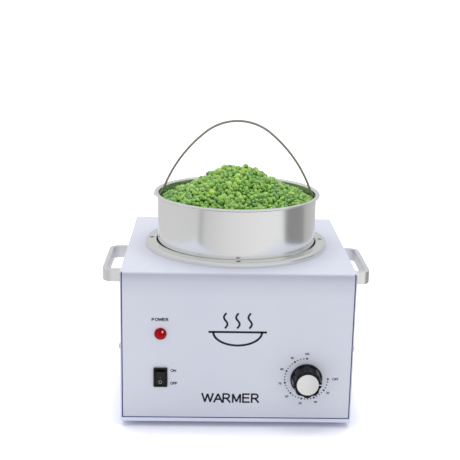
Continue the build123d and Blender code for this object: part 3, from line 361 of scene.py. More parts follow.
def red_lens():
    """Clear red moulding, unlit: a painted highlight shows as a small light spot, up and to the right, with
    darker red round it and towards the far edge as painted shade.
    """
    spot = LAMP_CENTRE + Vector((2.3, 0, 3.4)) * MM
    s = Surface("red_lens", tuple(spot), Specular_IOR_Level=0.08)
    flat = s.tree.nodes.new("ShaderNodeVectorMath")
    flat.operation = "MULTIPLY"
    flat.inputs[1].default_value = (130.0, 0.0, 130.0)
    s.tree.links.new(s.vector, flat.inputs[0])
    reach = s.tree.nodes.new("ShaderNodeVectorMath")
    reach.operation = "LENGTH"
    s.tree.links.new(flat.outputs[0], reach.inputs[0])
    ribs = s.noise(420.0, 1.0)
    # Painted highlight and shade: base colour by distance from the spot, pale at its middle, dark round it
    # and darker again at the far edge.
    s.set("Base Color", s.ramp(
        reach.outputs["Value"],
        (0.0, (0.95, 0.62, 0.60)),
        (0.13, (0.60, 0.10, 0.10)),
        (0.21, (0.17, 0.0, 0.002)),
        (0.34, (0.24, 0.0, 0.003)),
        (0.62, (0.38, 0.002, 0.006)),
        (1.0, (0.22, 0.0, 0.003)),
    ))
    s.set("Roughness", s.ramp(ribs, (0.3, grey(0.14)), (0.7, grey(0.2))))
    s.bump(ribs, 0.12, 0.0002)
    return s.material


def wax_bead_material():
    """Translucent hard wax: each bead has its own green, plus painted light that makes higher beads paler,
    with a paler heart and cloudy streaks.
    """
    s = Surface(
        "wax_beads", Subsurface_Weight=0.45, Subsurface_Scale=0.004, Subsurface_Radius=(0.6, 1.0, 0.25),
        Coat_Weight=0.6, Coat_Roughness=0.07, IOR=1.40,
    )
    tint = s.tree.nodes.new("ShaderNodeAttribute")
    tint.attribute_name = "bead_tint"
    own = s.ramp(
        tint.outputs["Fac"],
        (0.0, (0.030, 0.170, 0.042)),
        (0.25, (0.075, 0.255, 0.036)),
        (0.55, (0.150, 0.345, 0.046)),
        (0.80, (0.270, 0.460, 0.070)),
        (1.0, (0.480, 0.540, 0.070)),
    )
    streaks = s.noise(330.0, 3.0, 0.6)
    light = mix_colour(s.tree, 0.50, own, (0.56, 0.69, 0.20, 1.0))
    cloudy = s.ramp(streaks, (0.42, grey(0.0)), (0.66, grey(1.0)))
    s.set("Base Color", mix_colour(s.tree, cloudy, own, light))
    s.set("Roughness", s.ramp(s.noise(500.0), (0.3, grey(0.16)), (0.7, grey(0.34))))
    s.bump(s.noise(900.0, 2.0), 0.3, 0.0004)
    return s.material


def wax_core_material():
    """The green mass seen between the beads, painted dark green as painted shade in the gaps."""
    s = Surface("wax_core", Subsurface_Weight=0.2, Subsurface_Scale=0.004)
    lumps = s.noise(260.0, 3.0)
    s.set("Base Color", s.ramp(lumps, (0.3, (0.030, 0.110, 0.020)), (0.7, (0.110, 0.280, 0.050))))
    s.set("Roughness", s.ramp(lumps, (0.3, grey(0.45)), (0.7, grey(0.6))))
    s.bump(lumps, 0.8, 0.002)
    return s.material


def felted_wool():
    """Mineral wool: matted fibres in two directions."""
    s = Surface("mineral_wool")
    fibres = s.effect(BRUSH_LINES, Stretch=(900.0, 140.0, 1500.0))
    matted = fibres.outputs["Height"]
    s.set("Base Color", s.ramp(matted, (0.3, (0.50, 0.46, 0.33)), (0.7, (0.78, 0.74, 0.60))))
    s.set("Roughness", s.ramp(fibres.outputs["Mask"], (0.3, grey(0.9)), (0.7, grey(1.0))))
    s.bump(fibres.outputs["Height"], 0.8, 0.0008)
    return s.material


def printed_ink():
    """Screen-printed black, slightly uneven."""
    s = Surface("printed_ink", Specular_IOR_Level=0.2)
    spread = s.noise(700.0, 2.0)
    s.set("Base Color", s.ramp(spread, (0.3, (0.010, 0.010, 0.016)), (0.7, (0.024, 0.024, 0.034))))
    s.set("Roughness", s.ramp(spread, (0.3, grey(0.42)), (0.7, grey(0.55))))
    return s.material


POWDER = powder_white()
POT_METAL = spun_aluminium("pot_aluminium", tuple(POT_AXIS), 0.13, 0.22, (0.885, 0.89, 0.885), 0.05, True)
RING_METAL = spun_aluminium("ring_aluminium", tuple(POT_AXIS), 0.16, 0.26, (0.815, 0.82, 0.805), 0.12)
HANDLE_METAL = brushed_metal(
    "handle_aluminium", (0.90, 0.905, 0.89), 0.26, 0.38, (2600.0, 40.0, 2600.0), 0.10,
)
CAP_METAL = brushed_metal("cap_aluminium", (0.92, 0.92, 0.925), 0.30, 0.42, (60.0, 2600.0, 2600.0), 0.10)
BAIL_METAL = brushed_metal("bail_wire", (0.36, 0.32, 0.285), 0.30, 0.45, (900.0, 900.0, 120.0), 0.15)
STEEL = brushed_metal("zinc_steel", (0.56, 0.56, 0.57), 0.30, 0.45, (700.0, 700.0, 700.0), 0.10)
DARK_STEEL = brushed_metal("dark_steel", (0.20, 0.20, 0.21), 0.35, 0.5, (700.0, 700.0, 700.0), 0.10)
BRASS = brushed_metal("brass", (0.70, 0.52, 0.24), 0.28, 0.40, (500.0, 900.0, 900.0), 0.08)
KNOB_PLASTIC = moulded_plastic(
    "knob_plastic", (0.004, 0.004, 0.006), (0.008, 0.008, 0.011), 0.14, 0.22, 900.0, 0.04,
    Specular_IOR_Level=0.15,
)
SWITCH_PLASTIC = moulded_plastic(
    "switch_plastic", (0.006, 0.006, 0.007), (0.012, 0.012, 0.014), 0.34, 0.46, Specular_IOR_Level=0.25,
)
RUBBER = moulded_plastic("foot_rubber", (0.012, 0.012, 0.012), (0.03, 0.03, 0.03), 0.7, 0.85, 700.0, 0.3)
NYLON = moulded_plastic("white_nylon", (0.70, 0.69, 0.64), (0.78, 0.77, 0.73), 0.4, 0.5)
LIVE_SLEEVE = moulded_plastic("live_sleeve", (0.20, 0.06, 0.02), (0.32, 0.11, 0.05), 0.4, 0.55, 600.0, 0.2)
NEUTRAL_SLEEVE = moulded_plastic(
    "neutral_sleeve", (0.02, 0.08, 0.32), (0.05, 0.13, 0.46), 0.4, 0.55, 600.0, 0.2,
)
EARTH_SLEEVE = moulded_plastic(
    "earth_sleeve", (0.30, 0.42, 0.03), (0.46, 0.56, 0.06), 0.4, 0.55, 600.0, 0.2,
)
LENS_RED = red_lens()
WOOL = felted_wool()
INK = printed_ink()
# Painted shadow colour for the dark seam strips.
SEAM_SHADOW_BLUE = moulded_plastic(
    "seam_shadow_blue", (0.035, 0.036, 0.14), (0.050, 0.052, 0.19), 0.6, 0.7, Specular_IOR_Level=0.1,
)
GREY_INK = moulded_plastic(
    "grey_ink", (0.22, 0.22, 0.22), (0.30, 0.30, 0.30), 0.5, 0.6, Specular_IOR_Level=0.1,
)
WHITE_INK = moulded_plastic("white_ink", (0.78, 0.78, 0.78), (0.88, 0.88, 0.88), 0.4, 0.5)

# ---- Mesh helpers -------------------------------------------------------------------------


def show(name, bm, body, material, replaced=(), smooth_angle=35.0):
    """Make a piece of a finished bmesh, smooth it, and let it ride on its body."""
    mesh = bpy.data.meshes.new(name)
    bm.to_mesh(mesh)
    bm.free()
    mesh.materials.append(material)
    mesh.shade_smooth()
    mesh.set_sharp_from_angle(angle=radians(smooth_angle))
    piece = bpy.data.objects.new(name, mesh)
    bpy.context.scene.collection.objects.link(piece)
    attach(piece, body)
    if replaced:
        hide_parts(*replaced)
    return piece


def soften(piece, width, segments):
    """Round a piece's crisp edges with a live bevel that keeps its flats flat."""
    bevel = piece.modifiers.new("edges", "BEVEL")
    bevel.width = width
    bevel.segments = segments
    bevel.limit_method = "ANGLE"
    bevel.angle_limit = radians(30.0)
    bevel.harden_normals = True
    bevel.use_clamp_overlap = True


def arc(centre, radius, start, stop, steps):
    """Points (r, z) round part of a circle, for a turned outline; angles in degrees."""
    angles = [radians(start + (stop - start) * i / steps) for i in range(steps + 1)]
    return [(centre[0] + radius * cos(a), centre[1] + radius * sin(a)) for a in angles]


def lathe(outline, centre, axis=(0, 0, 1), steps=192, closed=False):
    """Spin an outline of (r, z) points round an axis through centre: z runs along that axis."""
    bm = bmesh.new()
    turn = Vector((0, 0, 1)).rotation_difference(Vector(axis)).to_matrix().to_4x4()
    verts = [bm.verts.new((r, 0, z)) for r, z in outline]
    edges = [bm.edges.new(pair) for pair in zip(verts, verts[1:])]
    if closed:
        edges.append(bm.edges.new((verts[-1], verts[0])))
    bmesh.ops.spin(
        bm, geom=verts + edges, cent=(0, 0, 0), axis=(0, 0, 1), dvec=(0, 0, 0),
        angle=tau, steps=steps, use_merge=True, use_duplicate=False,
    )
    bmesh.ops.remove_doubles(bm, verts=bm.verts, dist=1e-7)
    bmesh.ops.transform(bm, matrix=Matrix.Translation(centre) @ turn, verts=bm.verts)
    bmesh.ops.recalc_face_normals(bm, faces=bm.faces)
    return bm


def refined(node, body, material, edge=0.0, segments=2):
    """Stand a cleaned copy in for a CAD node: merged, flats rejoined and edges softened."""
    bm = bmesh.new()
    bm.from_mesh(frame["nodes"][node].data)
    bmesh.ops.remove_doubles(bm, verts=bm.verts, dist=1e-6)
    bmesh.ops.dissolve_limit(
        bm, angle_limit=radians(0.6), use_dissolve_boundaries=False, verts=bm.verts, edges=bm.edges,
    )
    piece = show(node + "_shell", bm, body, material, (node,))
    if edge:
        soften(piece, edge, segments)
    return piece


def paint(material, *nodes):
    """Give CAD nodes that keep their own mesh a better material."""
    for name in nodes:
        slots = frame["nodes"][name].data.materials
        slots.clear()
        slots.append(material)


# ---- Housing ------------------------------------------------------------------------------


def build_housing():
    """Cover and tray: folded sheet with just-rounded edges, and the fasteners that show."""
    refined("cover_shell", "housing", POWDER, 0.25 * MM)
    refined("base_tray", "housing", POWDER, 0.25 * MM)
    refined("cover_screws", "housing", STEEL, 0.12 * MM)
    for name in ("foot_front_left", "foot_front_right", "foot_rear_left", "foot_rear_right"):
        refined(name, "housing", RUBBER, 0.3 * MM)
    refined("foot_screws", "housing", STEEL, 0.12 * MM)
    for name in ("left_handle", "right_handle"):
        refined(name, "housing", HANDLE_METAL, 0.0)
    refined("pot_ring", "housing", RING_METAL, 0.15 * MM)
    refined("ring_screws", "housing", DARK_STEEL, 0.1 * MM)
    refined("heating_well", "housing", RING_METAL, 0.0)
    refined("mains_inlet", "housing", SWITCH_PLASTIC, 0.3 * MM)
    refined("inlet_screws", "housing", STEEL, 0.1 * MM)
    refined("inlet_pins", "housing", STEEL, 0.3 * MM)


def build_seams():
    """Strips in the seams: dark indigo round the front panel as painted shadow in the gaps, body colour
    along the top.
    """
    seam = HOUSING_HIGH.x - COVER_HIGH.x - SHEET
    middle = COVER_HIGH.x + seam / 2
    depth = 0.8 * MM
    low, top = COVER_LOW.z - seam, COVER_HIGH.z - 3.0 * MM
    # Dark strips: painted shadow set into the gaps round the front and back panels.
    dark = bmesh.new()
    pale = bmesh.new()

    def strip(bm, size, place):
        verts = bmesh.ops.create_cube(bm, size=1.0)["verts"]
        bmesh.ops.scale(bm, vec=size, verts=verts)
        bmesh.ops.translate(bm, vec=place, verts=verts)

    for side in (-1, 1):
        for y in (FRONT_Y + 0.25 * MM + depth / 2, COVER_HIGH.y - 0.25 * MM - depth / 2):
            strip(dark, (seam, depth, top - low), (side * middle, y, (top + low) / 2))
        strip(
            pale, (seam, COVER_HIGH.y - COVER_LOW.y - 6 * MM, depth),
            (side * middle, AXIS_Y, COVER_HIGH.z - 0.12 * MM - depth / 2),
        )
    for y in (FRONT_Y + 0.25 * MM + depth / 2, COVER_HIGH.y - 0.25 * MM - depth / 2):
        strip(dark, (2 * COVER_HIGH.x, depth, seam), (0, y, COVER_LOW.z - seam / 2))
    show("seam_strips_painted_shadow", dark, "housing", SEAM_SHADOW_BLUE)
    show("seam_strips_pale", pale, "housing", POWDER)


def paint_inside():
    """Finishes of everything inside the housing."""
    paint(STEEL, "foot_nuts", "handle_screws", "ring_nuts", "band_heater", "band_clamp_screw",
          "support_plate", "plate_pillars", "probe_clips", "thermostat_nut", "lamp_clip", "inlet_nuts")
    paint(BRASS, "thermostat_probe", "capillary_tube", "earth_stud", "spade_terminals", "thermostat_shaft")
    paint(NYLON, "heater_posts", "thermal_cutout", "lamp_body", "terminal_block")
    paint(WOOL, "well_blanket", "disc_insulation")
    paint(SWITCH_PLASTIC, "thermostat_body")
    paint(LIVE_SLEEVE, "live_wires", "lamp_leads")
    paint(NEUTRAL_SLEEVE, "neutral_wires")
    paint(EARTH_SLEEVE, "earth_wire")


# ---- Pot ----------------------------------------------------------------------------------


def build_pot():
    """Spun pot: rounded floor corner, straight wall, flared lip with a rolled edge."""
    inner_r = POT_WALL_R - POT_WALL_T
    floor_z = POT_LOW.z
    curl = (RIM_R - RIM_CURL_R, RIM_Z - RIM_CURL_R)
    flare_z = RIM_Z - 2.9 * MM
    corner_z = floor_z + POT_BOTTOM_R
    inner_corner = POT_BOTTOM_R - POT_WALL_T
    outline = [(0, floor_z)]
    outline += arc((POT_WALL_R - POT_BOTTOM_R, corner_z), POT_BOTTOM_R, -90, 0, 10)
    outline += [(POT_WALL_R, floor_z + 30 * MM), (POT_WALL_R, floor_z + 60 * MM)]
    outline += [(POT_WALL_R, flare_z - 1.2 * MM)]
    outline += arc((POT_WALL_R + 1.2 * MM, flare_z - 1.2 * MM), 1.2 * MM, 180, 90, 5)[1:]
    outline += arc(curl, RIM_CURL_R, 235, 450, 14)
    outline += arc((inner_r + 2.2 * MM, RIM_Z - 2.2 * MM), 2.2 * MM, 90, 180, 6)
    outline += [(inner_r, floor_z + 60 * MM), (inner_r, floor_z + 30 * MM)]
    outline += arc((inner_r - inner_corner, corner_z), inner_corner, 0, -90, 10)
    outline += [(0, floor_z + POT_WALL_T)]
    bm = lathe(outline, POT_AXIS)
    show("pot_body", bm, "pot", POT_METAL, ("pot",), 50.0)
    for side in (-1, 1):
        grommet = (side * POT_WALL_R, AXIS_Y, HINGE_Z)
        bm = lathe(
            [(BAIL_WIRE_R + 0.1 * MM, -0.1 * MM), (BAIL_WIRE_R + 0.1 * MM, 0.22 * MM),
             (BAIL_WIRE_R + 0.3 * MM, 0.22 * MM), (BAIL_WIRE_R + 0.45 * MM, -0.1 * MM)],
            grommet, (side, 0, 0), 32, closed=True,
        )
        show("bail_hole_edge_" + ("right" if side > 0 else "left"), bm, "pot", POT_METAL)


# ---- Bail ---------------------------------------------------------------------------------


def bail_half_line(step=2.0 * MM):
    """Points along the right half of the bail's centreline, from the crown to the wire's end."""
    legs = [(BAIL_TOP_R, 0.0, BAIL_TOP_TURN), (BAIL_SIDE_R, BAIL_TOP_TURN, BAIL_TOP_TURN + BAIL_SIDE_TURN)]
    leg_turn = BAIL_TOP_TURN + BAIL_SIDE_TURN
    point = Vector((0, BAIL_HIGH.z - BAIL_WIRE_R))
    points = [point.copy()]
    for radius, start, stop in legs + [(-BAIL_FOOT_R, leg_turn, 0.0)]:
        count = max(4, int(abs(radius * (stop - start)) / step))
        begin = point.copy()
        for i in range(1, count + 1):
            angle = start + (stop - start) * i / count
            point = begin + Vector((
                radius * (sin(angle) - sin(start)),
                radius * (cos(angle) - cos(start)),
            ))
            points.append(point.copy())
    points.append(Vector((BAIL_HIGH.x - 0.5 * MM, point.y)))
    return points


def build_bail():
    """One bent wire: a circle extruded from point to point, mirrored, with peened ends."""
    points = bail_half_line()
    bm = bmesh.new()
    ring = bmesh.ops.create_circle(bm, cap_ends=False, radius=BAIL_WIRE_R, segments=20)["verts"]
    last = len(points) - 1
    along = [(points[min(i + 1, last)] - points[max(i - 1, 0)]).normalized() for i in range(len(points))]
    along[0] = Vector((1, 0))

    def place(i):
        heading = Vector((along[i].x, 0, along[i].y))
        turn = Vector((0, 0, 1)).rotation_difference(heading).to_matrix().to_4x4()
        return Matrix.Translation((points[i].x, AXIS_Y, points[i].y)) @ turn

    at = place(0)
    bmesh.ops.transform(bm, matrix=at, verts=ring)
    edges = list({edge for vert in ring for edge in vert.link_edges})
    for i in range(1, len(points)):
        grown = bmesh.ops.extrude_edge_only(bm, edges=edges)["geom"]
        verts = [g for g in grown if isinstance(g, bmesh.types.BMVert)]
        edges = [g for g in grown if isinstance(g, bmesh.types.BMEdge)]
        bmesh.ops.transform(bm, matrix=place(i) @ at.inverted(), verts=verts)
        at = place(i)
    bmesh.ops.contextual_create(bm, geom=edges)
    geom = bm.verts[:] + bm.edges[:] + bm.faces[:]
    copy = bmesh.ops.duplicate(bm, geom=geom)["geom"]
    copied = [g for g in copy if isinstance(g, bmesh.types.BMVert)]
    bmesh.ops.scale(bm, vec=(-1, 1, 1), verts=copied)
    bmesh.ops.remove_doubles(bm, verts=bm.verts, dist=1e-6)
    bmesh.ops.recalc_face_normals(bm, faces=bm.faces)
    show("bail_wire_bent", bm, "bail", BAIL_METAL, ("bail",), 60.0)
    for side in (-1, 1):
        start = (side * (BAIL_HIGH.x - BAIL_HEAD_T), AXIS_Y, HINGE_Z)
        outline = [(0, 0), (BAIL_HEAD_R - 0.2 * MM, 0)]
        outline += arc((BAIL_HEAD_R - 0.5 * MM, BAIL_HEAD_T - 0.5 * MM), 0.5 * MM, 0, 90, 4)
        outline += [(0, BAIL_HEAD_T)]
        name = "bail_peened_end_" + ("right" if side > 0 else "left")
        show(name, lathe(outline, start, (side, 0, 0), 24), "bail", BAIL_METAL)
    return points


# ---- Wax ----------------------------------------------------------------------------------

BEAD_R = 3.6 * MM
BEAD_LAYERS = 3
LAYER_STEP = 4.5 * MM
BEAD_PITCH = 6.1 * MM
BEAD_FIELD_R = POT_WALL_R - POT_WALL_T - BEAD_R - 0.2 * MM
HEAP_SHAPE = (
    (0, 25.5), (15, 23.5), (28, 18.5), (42, 11.0), (51, 6.0),
    (58, 2.8), (65, -0.4), (71, -3.2), (77, -6.0), (88, -9.5),
)


def heap_height(x, y):
    """Height of the heap above the rim, at places measured from the pot's axis."""
    radius = np.hypot(x, y)
    profile_r = np.array([r for r, _ in HEAP_SHAPE]) * MM
    profile_z = np.array([z for _, z in HEAP_SHAPE]) * MM
    angle = np.arctan2(y, x)
    lumps = 1.1 * np.sin(3 * angle + 0.7) + 0.9 * np.sin(radius / (9 * MM) + 2 * angle)
    fade = np.clip(1 - radius / (88 * MM), 0, 1) + 0.25
    fall_back = 7.5 * MM * np.clip(y / (80 * MM), -0.7, 1) * np.clip(radius / (60 * MM), 0, 1)
    return np.interp(radius, profile_r, profile_z) + lumps * fade * MM - fall_back


def scatter_beads(rng, bail_line):
    """Bead centres and sizes: jittered hexagonal layers, pushed apart, clear of the bail."""
    centres = []
    for layer in range(BEAD_LAYERS):
        count = int(2 * BEAD_FIELD_R / BEAD_PITCH) + 2
        rows, cols = np.meshgrid(np.arange(-count, count), np.arange(-count, count))
        x = (cols + 0.5 * (rows % 2)) * BEAD_PITCH
        y = rows * BEAD_PITCH * sqrt(3) / 2
        turn = rng.uniform(0, tau)
        x, y = x * cos(turn) - y * sin(turn), x * sin(turn) + y * cos(turn)
        x = (x + rng.uniform(-1, 1, x.shape) * 1.7 * MM).ravel()
        y = (y + rng.uniform(-1, 1, y.shape) * 1.7 * MM).ravel()
        inside = np.hypot(x, y) < BEAD_FIELD_R
        x, y = x[inside], y[inside]
        z = heap_height(x, y) - layer * LAYER_STEP + rng.normal(0, 0.9 * MM, x.shape)
        centres.append(np.stack([x, y, z], axis=1))
    centres = np.concatenate(centres)
    sizes = BEAD_R * rng.uniform(0.80, 1.16, len(centres))
    for _ in range(6):
        gap = centres[:, None, :] - centres[None, :, :]
        distance = np.sqrt((gap ** 2).sum(axis=2)) + np.eye(len(centres))
        wanted = 0.80 * (sizes[:, None] + sizes[None, :])
        push = np.where(distance < wanted, (wanted - distance) / distance, 0.0)
        np.fill_diagonal(push, 0.0)
        centres = centres + 0.22 * (gap * push[:, :, None]).sum(axis=1)
        radius = np.hypot(centres[:, 0], centres[:, 1])
        pull = np.minimum(1.0, BEAD_FIELD_R / np.maximum(radius, 1e-9))
        centres[:, :2] *= pull[:, None]
    line = np.array([(p.x, 0.0, p.y - RIM_Z) for p in bail_line])
    wire = np.concatenate([line, line * (-1, 1, 1)])
    clearance = np.sqrt(((centres[:, None, :] - wire[None, :, :]) ** 2).sum(axis=2)).min(axis=1)
    clear = clearance > sizes * 1.15 + BAIL_WIRE_R
    return centres[clear], sizes[clear]


def bead_form():
    """One bead: a cube subdivided and rounded to a ball, as coordinates and faces."""
    bm = bmesh.new()
    bmesh.ops.create_cube(bm, size=1.0)
    bmesh.ops.subdivide_edges(bm, edges=bm.edges, cuts=1, use_grid_fill=True)
    for vert in bm.verts:
        vert.co.normalize()
    bmesh.ops.recalc_face_normals(bm, faces=bm.faces)
    coordinates = np.array([v.co for v in bm.verts])
    faces = np.array([[v.index for v in face.verts] for face in bm.faces])
    bm.free()
    return coordinates, faces


def build_wax(bail_line):
    """The beads, each turned and squashed its own way, over a core that fills the pot."""
    rng = np.random.default_rng(11)
    centres, sizes = scatter_beads(rng, bail_line)
    form, faces = bead_form()
    count = len(centres)
    shapes = np.empty((count, len(form), 3))
    for i in range(count):
        turn = np.array(Euler(rng.uniform(0, tau, 3)).to_matrix())
        squash = rng.uniform(0.60, 1.26, 3)
        ripple = 1 + 0.16 * np.sin(form @ rng.uniform(-4, 4, 3) + rng.uniform(0, tau))
        shapes[i] = (form * squash * ripple[:, None]) @ turn.T * sizes[i] + centres[i]
    shapes = shapes.reshape(-1, 3) + np.array((0, AXIS_Y, RIM_Z))
    ids = (faces[None, :, :] + np.arange(count)[:, None, None] * len(form)).reshape(-1, 4)
    mesh = bpy.data.meshes.new("wax_beads")
    mesh.from_pydata(shapes.tolist(), [], ids.tolist())
    tint = mesh.attributes.new("bead_tint", "FLOAT", "POINT")
    # Painted light: own mixes each bead's random green with a paler tint for beads higher in the heap and a
    # deeper green for lower ones.
    height_light = np.clip((centres[:, 2] + 8 * MM) / (34 * MM), 0, 1) - 0.5
    own = np.clip(rng.beta(2.0, 2.8, count) + 0.22 * height_light, 0, 1)
    tint.data.foreach_set("value", np.repeat(own, len(form)).astype(np.float32))
    mesh.materials.append(wax_bead_material())
    mesh.shade_smooth()
    beads = bpy.data.objects.new("wax_beads", mesh)
    bpy.context.scene.collection.objects.link(beads)
    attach(beads, "pot")

    inner_r = POT_WALL_R - POT_WALL_T - 0.15 * MM
    drop = (BEAD_LAYERS - 0.6) * LAYER_STEP
    top = [(r * MM, RIM_Z + z * MM - drop) for r, z in reversed(HEAP_SHAPE[:-1])]
    bottom = WAX_LOW.z
    corner = 6.7 * MM
    outline = [(0, bottom)] + arc((inner_r - corner, bottom + corner), corner, -90, 0, 8)
    outline += [(inner_r, RIM_Z - 16 * MM)] + top
    core = lathe(outline, POT_AXIS, steps=96)
    show("wax_core", core, "pot", wax_core_material(), ("wax",), 60.0)


# ---- Knob, lamp and switch ----------------------------------------------------------------


def build_knob():
    """Scalloped gloss knob, silvery cap with a raised edge, and the white pointer line."""
    refined("knob", "knob", KNOB_PLASTIC, 0.5 * MM, 3)
    cap_r = (CAP_HIGH.x - CAP_LOW.x) / 2
    cap_back = CAP_HIGH.y
    depth = CAP_HIGH.y - CAP_LOW.y
    centre = Vector((KNOB_CENTRE.x, cap_back, KNOB_CENTRE.z))
    outline = [(0, 0), (cap_r, 0), (cap_r, depth - 0.35 * MM)]
    outline += arc((cap_r - 0.35 * MM, depth - 0.35 * MM), 0.35 * MM, 0, 90, 4)[1:]
    outline += [(cap_r - 1.0 * MM, depth), (cap_r - 1.3 * MM, depth - 0.18 * MM), (0, depth - 0.18 * MM)]
    disc = lathe(outline, centre, (0, -1, 0), 96)
    show("knob_cap_disc", disc, "knob", CAP_METAL, ("knob_cap",))

    line = bmesh.new()
    front_y = CAP_LOW.y + 0.35 * MM
    skirt_y = KNOB_HIGH.y - 2.6 * MM
    front_r = 15.05 * MM
    back_r = 16.4 * MM
    line_w = 0.6 * MM
    line_t = 0.4 * MM
    slope = (back_r - front_r) / (skirt_y - front_y)
    bmesh.ops.create_cube(line, size=1.0)
    length = sqrt((skirt_y - front_y) ** 2 + (back_r - front_r) ** 2)
    bmesh.ops.scale(line, vec=(line_t, length, line_w), verts=line.verts)
    lean = Matrix.Rotation(-atan2(slope, 1.0), 3, "Z")
    bmesh.ops.rotate(line, cent=(0, 0, 0), matrix=lean, verts=line.verts)
    middle = (KNOB_CENTRE.x + (front_r + back_r) / 2, (front_y + skirt_y) / 2, KNOB_CENTRE.z)
    bmesh.ops.translate(line, vec=middle, verts=line.verts)
    top = bmesh.ops.create_cube(line, size=1.0)["verts"]
    bmesh.ops.scale(line, vec=(3.2 * MM, line_t, line_w), verts=top)
    bmesh.ops.translate(line, vec=(KNOB_CENTRE.x + 13.5 * MM, front_y + 0.3 * MM, KNOB_CENTRE.z), verts=top)
    show("knob_pointer", line, "knob", WHITE_INK)


def build_lamp():
    """Round lens: a thin rim and a domed top."""
    rim_r = (LENS_HIGH.x - LENS_LOW.x) / 2
    rise = LENS_HIGH.y - LENS_LOW.y
    dome_r = rim_r - 1.0 * MM
    ball = (dome_r ** 2 + (rise - LENS_RIM_T) ** 2) / (2 * (rise - LENS_RIM_T))
    sweep = degrees(asin(min(1.0, dome_r / ball)))
    outline = [(0, 0), (rim_r, 0), (rim_r, LENS_RIM_T - 0.4 * MM)]
    outline += arc((rim_r - 0.4 * MM, LENS_RIM_T - 0.4 * MM), 0.4 * MM, 0, 90, 4)[1:]
    outline += arc((0, rise - ball), ball, 90 - sweep, 90, 14)
    dome = lathe(outline, LAMP_CENTRE, (0, -1, 0), 64)
    show("lamp_dome", dome, "housing", LENS_RED, ("lamp_lens",), 50.0)


def build_switch():
    """Rocker and its frame, with the bar and ring marks on the rocker's two faces."""
    refined("switch_frame", "housing", SWITCH_PLASTIC, 0.25 * MM)
    refined("rocker", "rocker", SWITCH_PLASTIC, 0.3 * MM)
    joint = next(j for j in frame["joints"] if j["name"] == "rocker_tilt")
    pivot = Vector(joint["pos_m"])
    tilt = Matrix.Rotation(radians(-ROCKER_TILT), 4, "X")
    place = Matrix.Translation(pivot) @ tilt
    marks = bmesh.new()
    bar = bmesh.ops.create_cube(marks, size=1.0)["verts"]
    bmesh.ops.scale(marks, vec=(0.6 * MM, 0.3 * MM, 2.4 * MM), verts=bar)
    bmesh.ops.rotate(marks, cent=(0, 0, 0), matrix=Matrix.Rotation(radians(-4.0), 3, "X"), verts=bar)
    bmesh.ops.translate(marks, vec=(0, -3.02 * MM, 0.3 * MM), verts=bar)
    bmesh.ops.transform(marks, matrix=place, verts=bar)
    ring_in, ring_out, ring_t = 1.35 * MM, 1.85 * MM, 0.1 * MM
    ring_outline = [(ring_in, 0), (ring_out, 0), (ring_out, ring_t), (ring_in, ring_t)]
    ring = lathe(ring_outline, (0, 0, 0), (0, -1, 0), 32, closed=True)
    bmesh.ops.rotate(ring, cent=(0, 0, 0), matrix=Matrix.Rotation(radians(-8.3), 3, "X"), verts=ring.verts)
    bmesh.ops.translate(ring, vec=(0, -3.70 * MM, -5.0 * MM), verts=ring.verts)
    bmesh.ops.transform(ring, matrix=place, verts=ring.verts)
    ring_mesh = bpy.data.meshes.new("ring_mark")
    ring.to_mesh(ring_mesh)
    ring.free()
    marks.from_mesh(ring_mesh)
    bpy.data.meshes.remove(ring_mesh)
    show("rocker_marks", marks, "rocker", GREY_INK)


# ---- Printing on the front panel ----------------------------------------------------------

INK_T = 0.05 * MM
PANEL = Matrix.Translation((0, FRONT_Y, 0)) @ Matrix.Rotation(radians(90), 4, "X")
BASE_Z = HOUSING_LOW.z


def add_text(bm, words, centre, height):
    """A printed label on the panel, of a given height."""
    curve = bpy.data.curves.new("words", "FONT")
    curve.body = words
    curve.size = 1.0
    curve.extrude = 0.5
    curve.resolution_u = 4
    curve.offset = 0.03
    carrier = bpy.data.objects.new("words", curve)
    bpy.context.scene.collection.objects.link(carrier)
    bpy.context.view_layer.update()
    mesh = bpy.data.meshes.new_from_object(carrier)
    xyz = np.array([v.co for v in mesh.vertices])
    low, high = xyz.min(axis=0), xyz.max(axis=0)
    scale = height / (high[1] - low[1])
    middle = Matrix.Translation((-(low[0] + high[0]) / 2, -(low[1] + high[1]) / 2, 0))
    sized = Matrix.Diagonal((scale, scale, INK_T, 1))
    at = Matrix.Translation((centre[0], centre[1], INK_T / 2))
    mesh.transform(PANEL @ at @ sized @ middle)
    bm.from_mesh(mesh)
    bpy.data.objects.remove(carrier)
    bpy.data.curves.remove(curve)
    bpy.data.meshes.remove(mesh)


def add_dot(bm, x, z, radius):
    """One printed dot of the dial."""
    verts = bmesh.ops.create_cone(
        bm, cap_ends=True, segments=16, radius1=radius, radius2=radius, depth=INK_T,
    )["verts"]
    bmesh.ops.transform(bm, matrix=PANEL @ Matrix.Translation((x, z, INK_T / 2)), verts=verts)


GLYPHS = {
    "W": (1.30, [[(0.0, 1), (0.325, 0), (0.65, 1), (0.975, 0), (1.30, 1)]]),
    "A": (0.94, [[(0.0, 0), (0.47, 1), (0.94, 0)], [(0.17, 0.34), (0.77, 0.34)]]),
    "M": (0.90, [[(0.0, 0), (0.0, 1), (0.45, 0.04), (0.90, 1), (0.90, 0)]]),
    "E": (0.72, [[(0.70, 1), (0.0, 1), (0.0, 0), (0.72, 0)], [(0.0, 0.53), (0.64, 0.53)]]),
    "F": (0.66, [[(0.66, 1), (0.0, 1), (0.0, 0)], [(0.0, 0.52), (0.56, 0.52)]]),
    "N": (0.76, [[(0.0, 0), (0.0, 1), (0.76, 0), (0.76, 1)]]),
    "P": (0.74, [[(0.0, 0), (0.0, 1), *arc((0.46, 0.72), 0.28, 90, -90, 12), (0.0, 0.44)]]),
    "R": (0.82, [
        [(0.0, 0), (0.0, 1), *arc((0.46, 0.73), 0.27, 90, -90, 12), (0.0, 0.46)],
        [(0.40, 0.46), (0.80, 0)],
    ]),
    "O": (0.96, [[(0.48 + 0.48 * cos(tau * i / 32), 0.5 + 0.5 * sin(tau * i / 32)) for i in range(33)]]),
}


